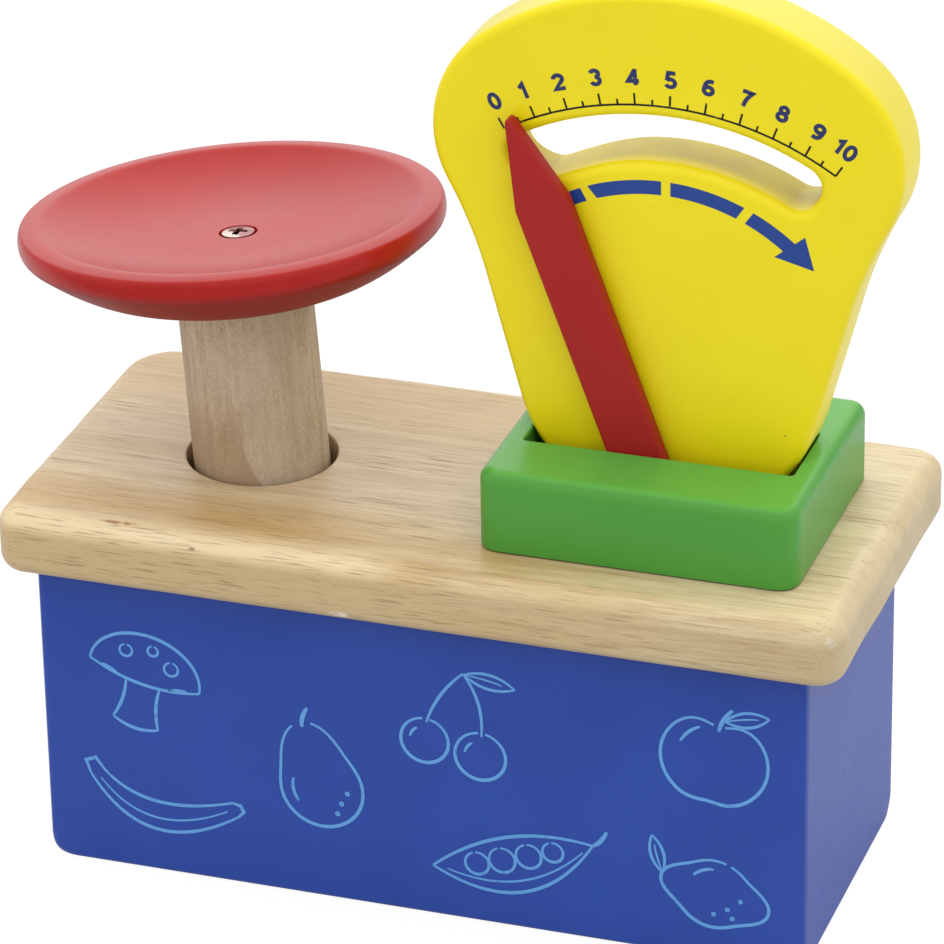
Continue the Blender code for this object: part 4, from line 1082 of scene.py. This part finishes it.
def make_box_print():
    """Line drawings of fruit and vegetables scattered over the front of the box."""
    drawings = (
        (mushroom(), (-74, 57), -12, 1),
        (banana(), (-70, 20), 8, 1),
        (pear(), (-27, 32), 16, 1),
        (cherries(), (8, 58), 0, 0.95),
        (pea_pod(), (24, 19), 14, 1.05),
        (apple(), (76, 57), -8, 1),
        (lemon(), (76, 19), -14, 1),
    )
    strokes = []
    for lines, at, degrees, scale in drawings:
        turn = math.radians(degrees)
        spin = np.array(((math.cos(turn), math.sin(turn)), (-math.sin(turn), math.cos(turn)))) * scale
        strokes += [(np.asarray(at) + line @ spin, width) for line, width in lines]
    surface = placed(ribbons(strokes, 0.05), (0, BOX_FRONT, 0), UPRIGHT_AXES)
    piece("box_drawings", surface, LINE_INK, "case")


SOLIDS = (make_box, make_board, make_post, make_pan, make_screws, make_block, make_dial, make_pointer, make_spring)
PRINTS = (make_scale_print, make_arrow, make_box_print)
for make in (*SOLIDS, carried_over, *PRINTS):
    make()


# Stage

# The camera's lens in millimetres, its place in metres and its angles
LENS, CAMERA_AT = 218.33, (0.42073, -1.21768, 0.7489)
AZIMUTH, ELEVATION, ROLL = (math.radians(angle) for angle in (19.07, 26.57, -1.04))
# Soft light from the world: directions and strengths of broad lobes
EVEN_LIGHT = 0.4
LOBES = (
    ((0, 0, 1), 0.77),
    ((0, 1, 0.3), 1.2),
    ((0, -0.7, 0.7), 0.8),
    ((1, 0, 0.3), 0.4),
    ((-1, 0, 0.3), 0.32),
)


def emptied(owner):
    """The start of an owner's node tree, with nothing in it."""
    owner.use_nodes = True
    owner.node_tree.nodes.clear()
    return Wire(owner.node_tree)


def seen_directly(root):
    """Whether a ray comes from the camera or through glass, and whether it is a reflection."""
    camera = root.node("LightPath", out="Is Camera Ray")
    path = camera.socket.node
    through = Wire(root.tree, path.outputs["Is Transmission Ray"])
    glossy = Wire(root.tree, path.outputs["Is Glossy Ray"])
    return camera.most(through), glossy


def make_floor():
    """A white floor that keeps a faint shadow, and is dimmer towards the camera in reflections."""
    mesh = bpy.data.meshes.new("floor")
    corners = [(6 * x, 6 * y, 0) for x, y in ((-1, -1), (1, -1), (1, 1), (-1, 1))]
    mesh.from_pydata(corners, [], [(0, 1, 2, 3)])
    floor = bpy.data.objects.new("floor", mesh)
    bpy.context.scene.collection.objects.link(floor)
    material = bpy.data.materials.new("floor_white")
    root = emptied(material)
    seen, glossy = seen_directly(root)
    greys = (0.6, 0.13, 0.08)
    plain, faint, dim = (root.node("BsdfDiffuse", {"Color": (grey, grey, grey, 1)}) for grey in greys)
    glow = root.node("Emission", {"Color": (1, 1, 1, 1), "Strength": 0.9})
    shown = root.node("AddShader", {0: faint, 1: glow})
    mixed = root.node("MixShader", {0: seen.most(glossy * 0.35), 1: plain, 2: shown})
    near = root.node("TexCoord", out="Object").along((0, -1, 0)).rise(0.05, 0.3)
    shaded = root.node("MixShader", {0: glossy * near * 0.65, 1: mixed, 2: dim})
    root.node("OutputMaterial", {"Surface": shaded})
    mesh.materials.append(material)


def make_world():
    """A white studio: even light with broad, soft lobes.

    Reflections see it brighter at the back and dimmer behind the camera.
    """
    world = bpy.data.worlds.new("studio")
    bpy.context.scene.world = world
    root = emptied(world)
    seen, glossy = seen_directly(root)
    away = root.node("TexCoord", out="Generated")
    light = EVEN_LIGHT
    for direction, strength in LOBES:
        towards = tuple(Vector(direction).normalized())
        light = away.along(towards).most(0) ** 2 * strength + light
    front = away.along((0.3, -0.85, 0.43)).rise(0.2, 0.95)
    height = away.along((0, 0, 1))
    back = away.along((-0.293, 0.849, 0.438)).rise(0.78, 1)
    mirror = 0.68 + height.rise(0.1, 0.5) * 0.3 + back * 0.85 - front * 0.5
    strength = seen + (1 - seen) * (glossy * mirror + (1 - glossy) * light)
    sky = root.node("Background", {"Color": (1, 1, 1, 1), "Strength": strength})
    root.node("OutputWorld", {"Surface": sky})


def make_camera():
    """The camera, at the photograph's place and angle."""
    camera = bpy.data.cameras.new("camera")
    camera.sensor_width = 36
    camera.lens = LENS
    camera.clip_start, camera.clip_end = 0.05, 30
    holder = bpy.data.objects.new("camera", camera)
    turn = Matrix.Rotation(AZIMUTH, 4, "Z") @ Matrix.Rotation(math.pi / 2 - ELEVATION, 4, "X")
    holder.matrix_world = Matrix.Translation(CAMERA_AT) @ turn @ Matrix.Rotation(ROLL, 4, "Z")
    bpy.context.scene.collection.objects.link(holder)
    bpy.context.scene.camera = holder


make_floor()
make_world()
make_camera()
bpy.context.scene.view_settings.view_transform = "Standard"
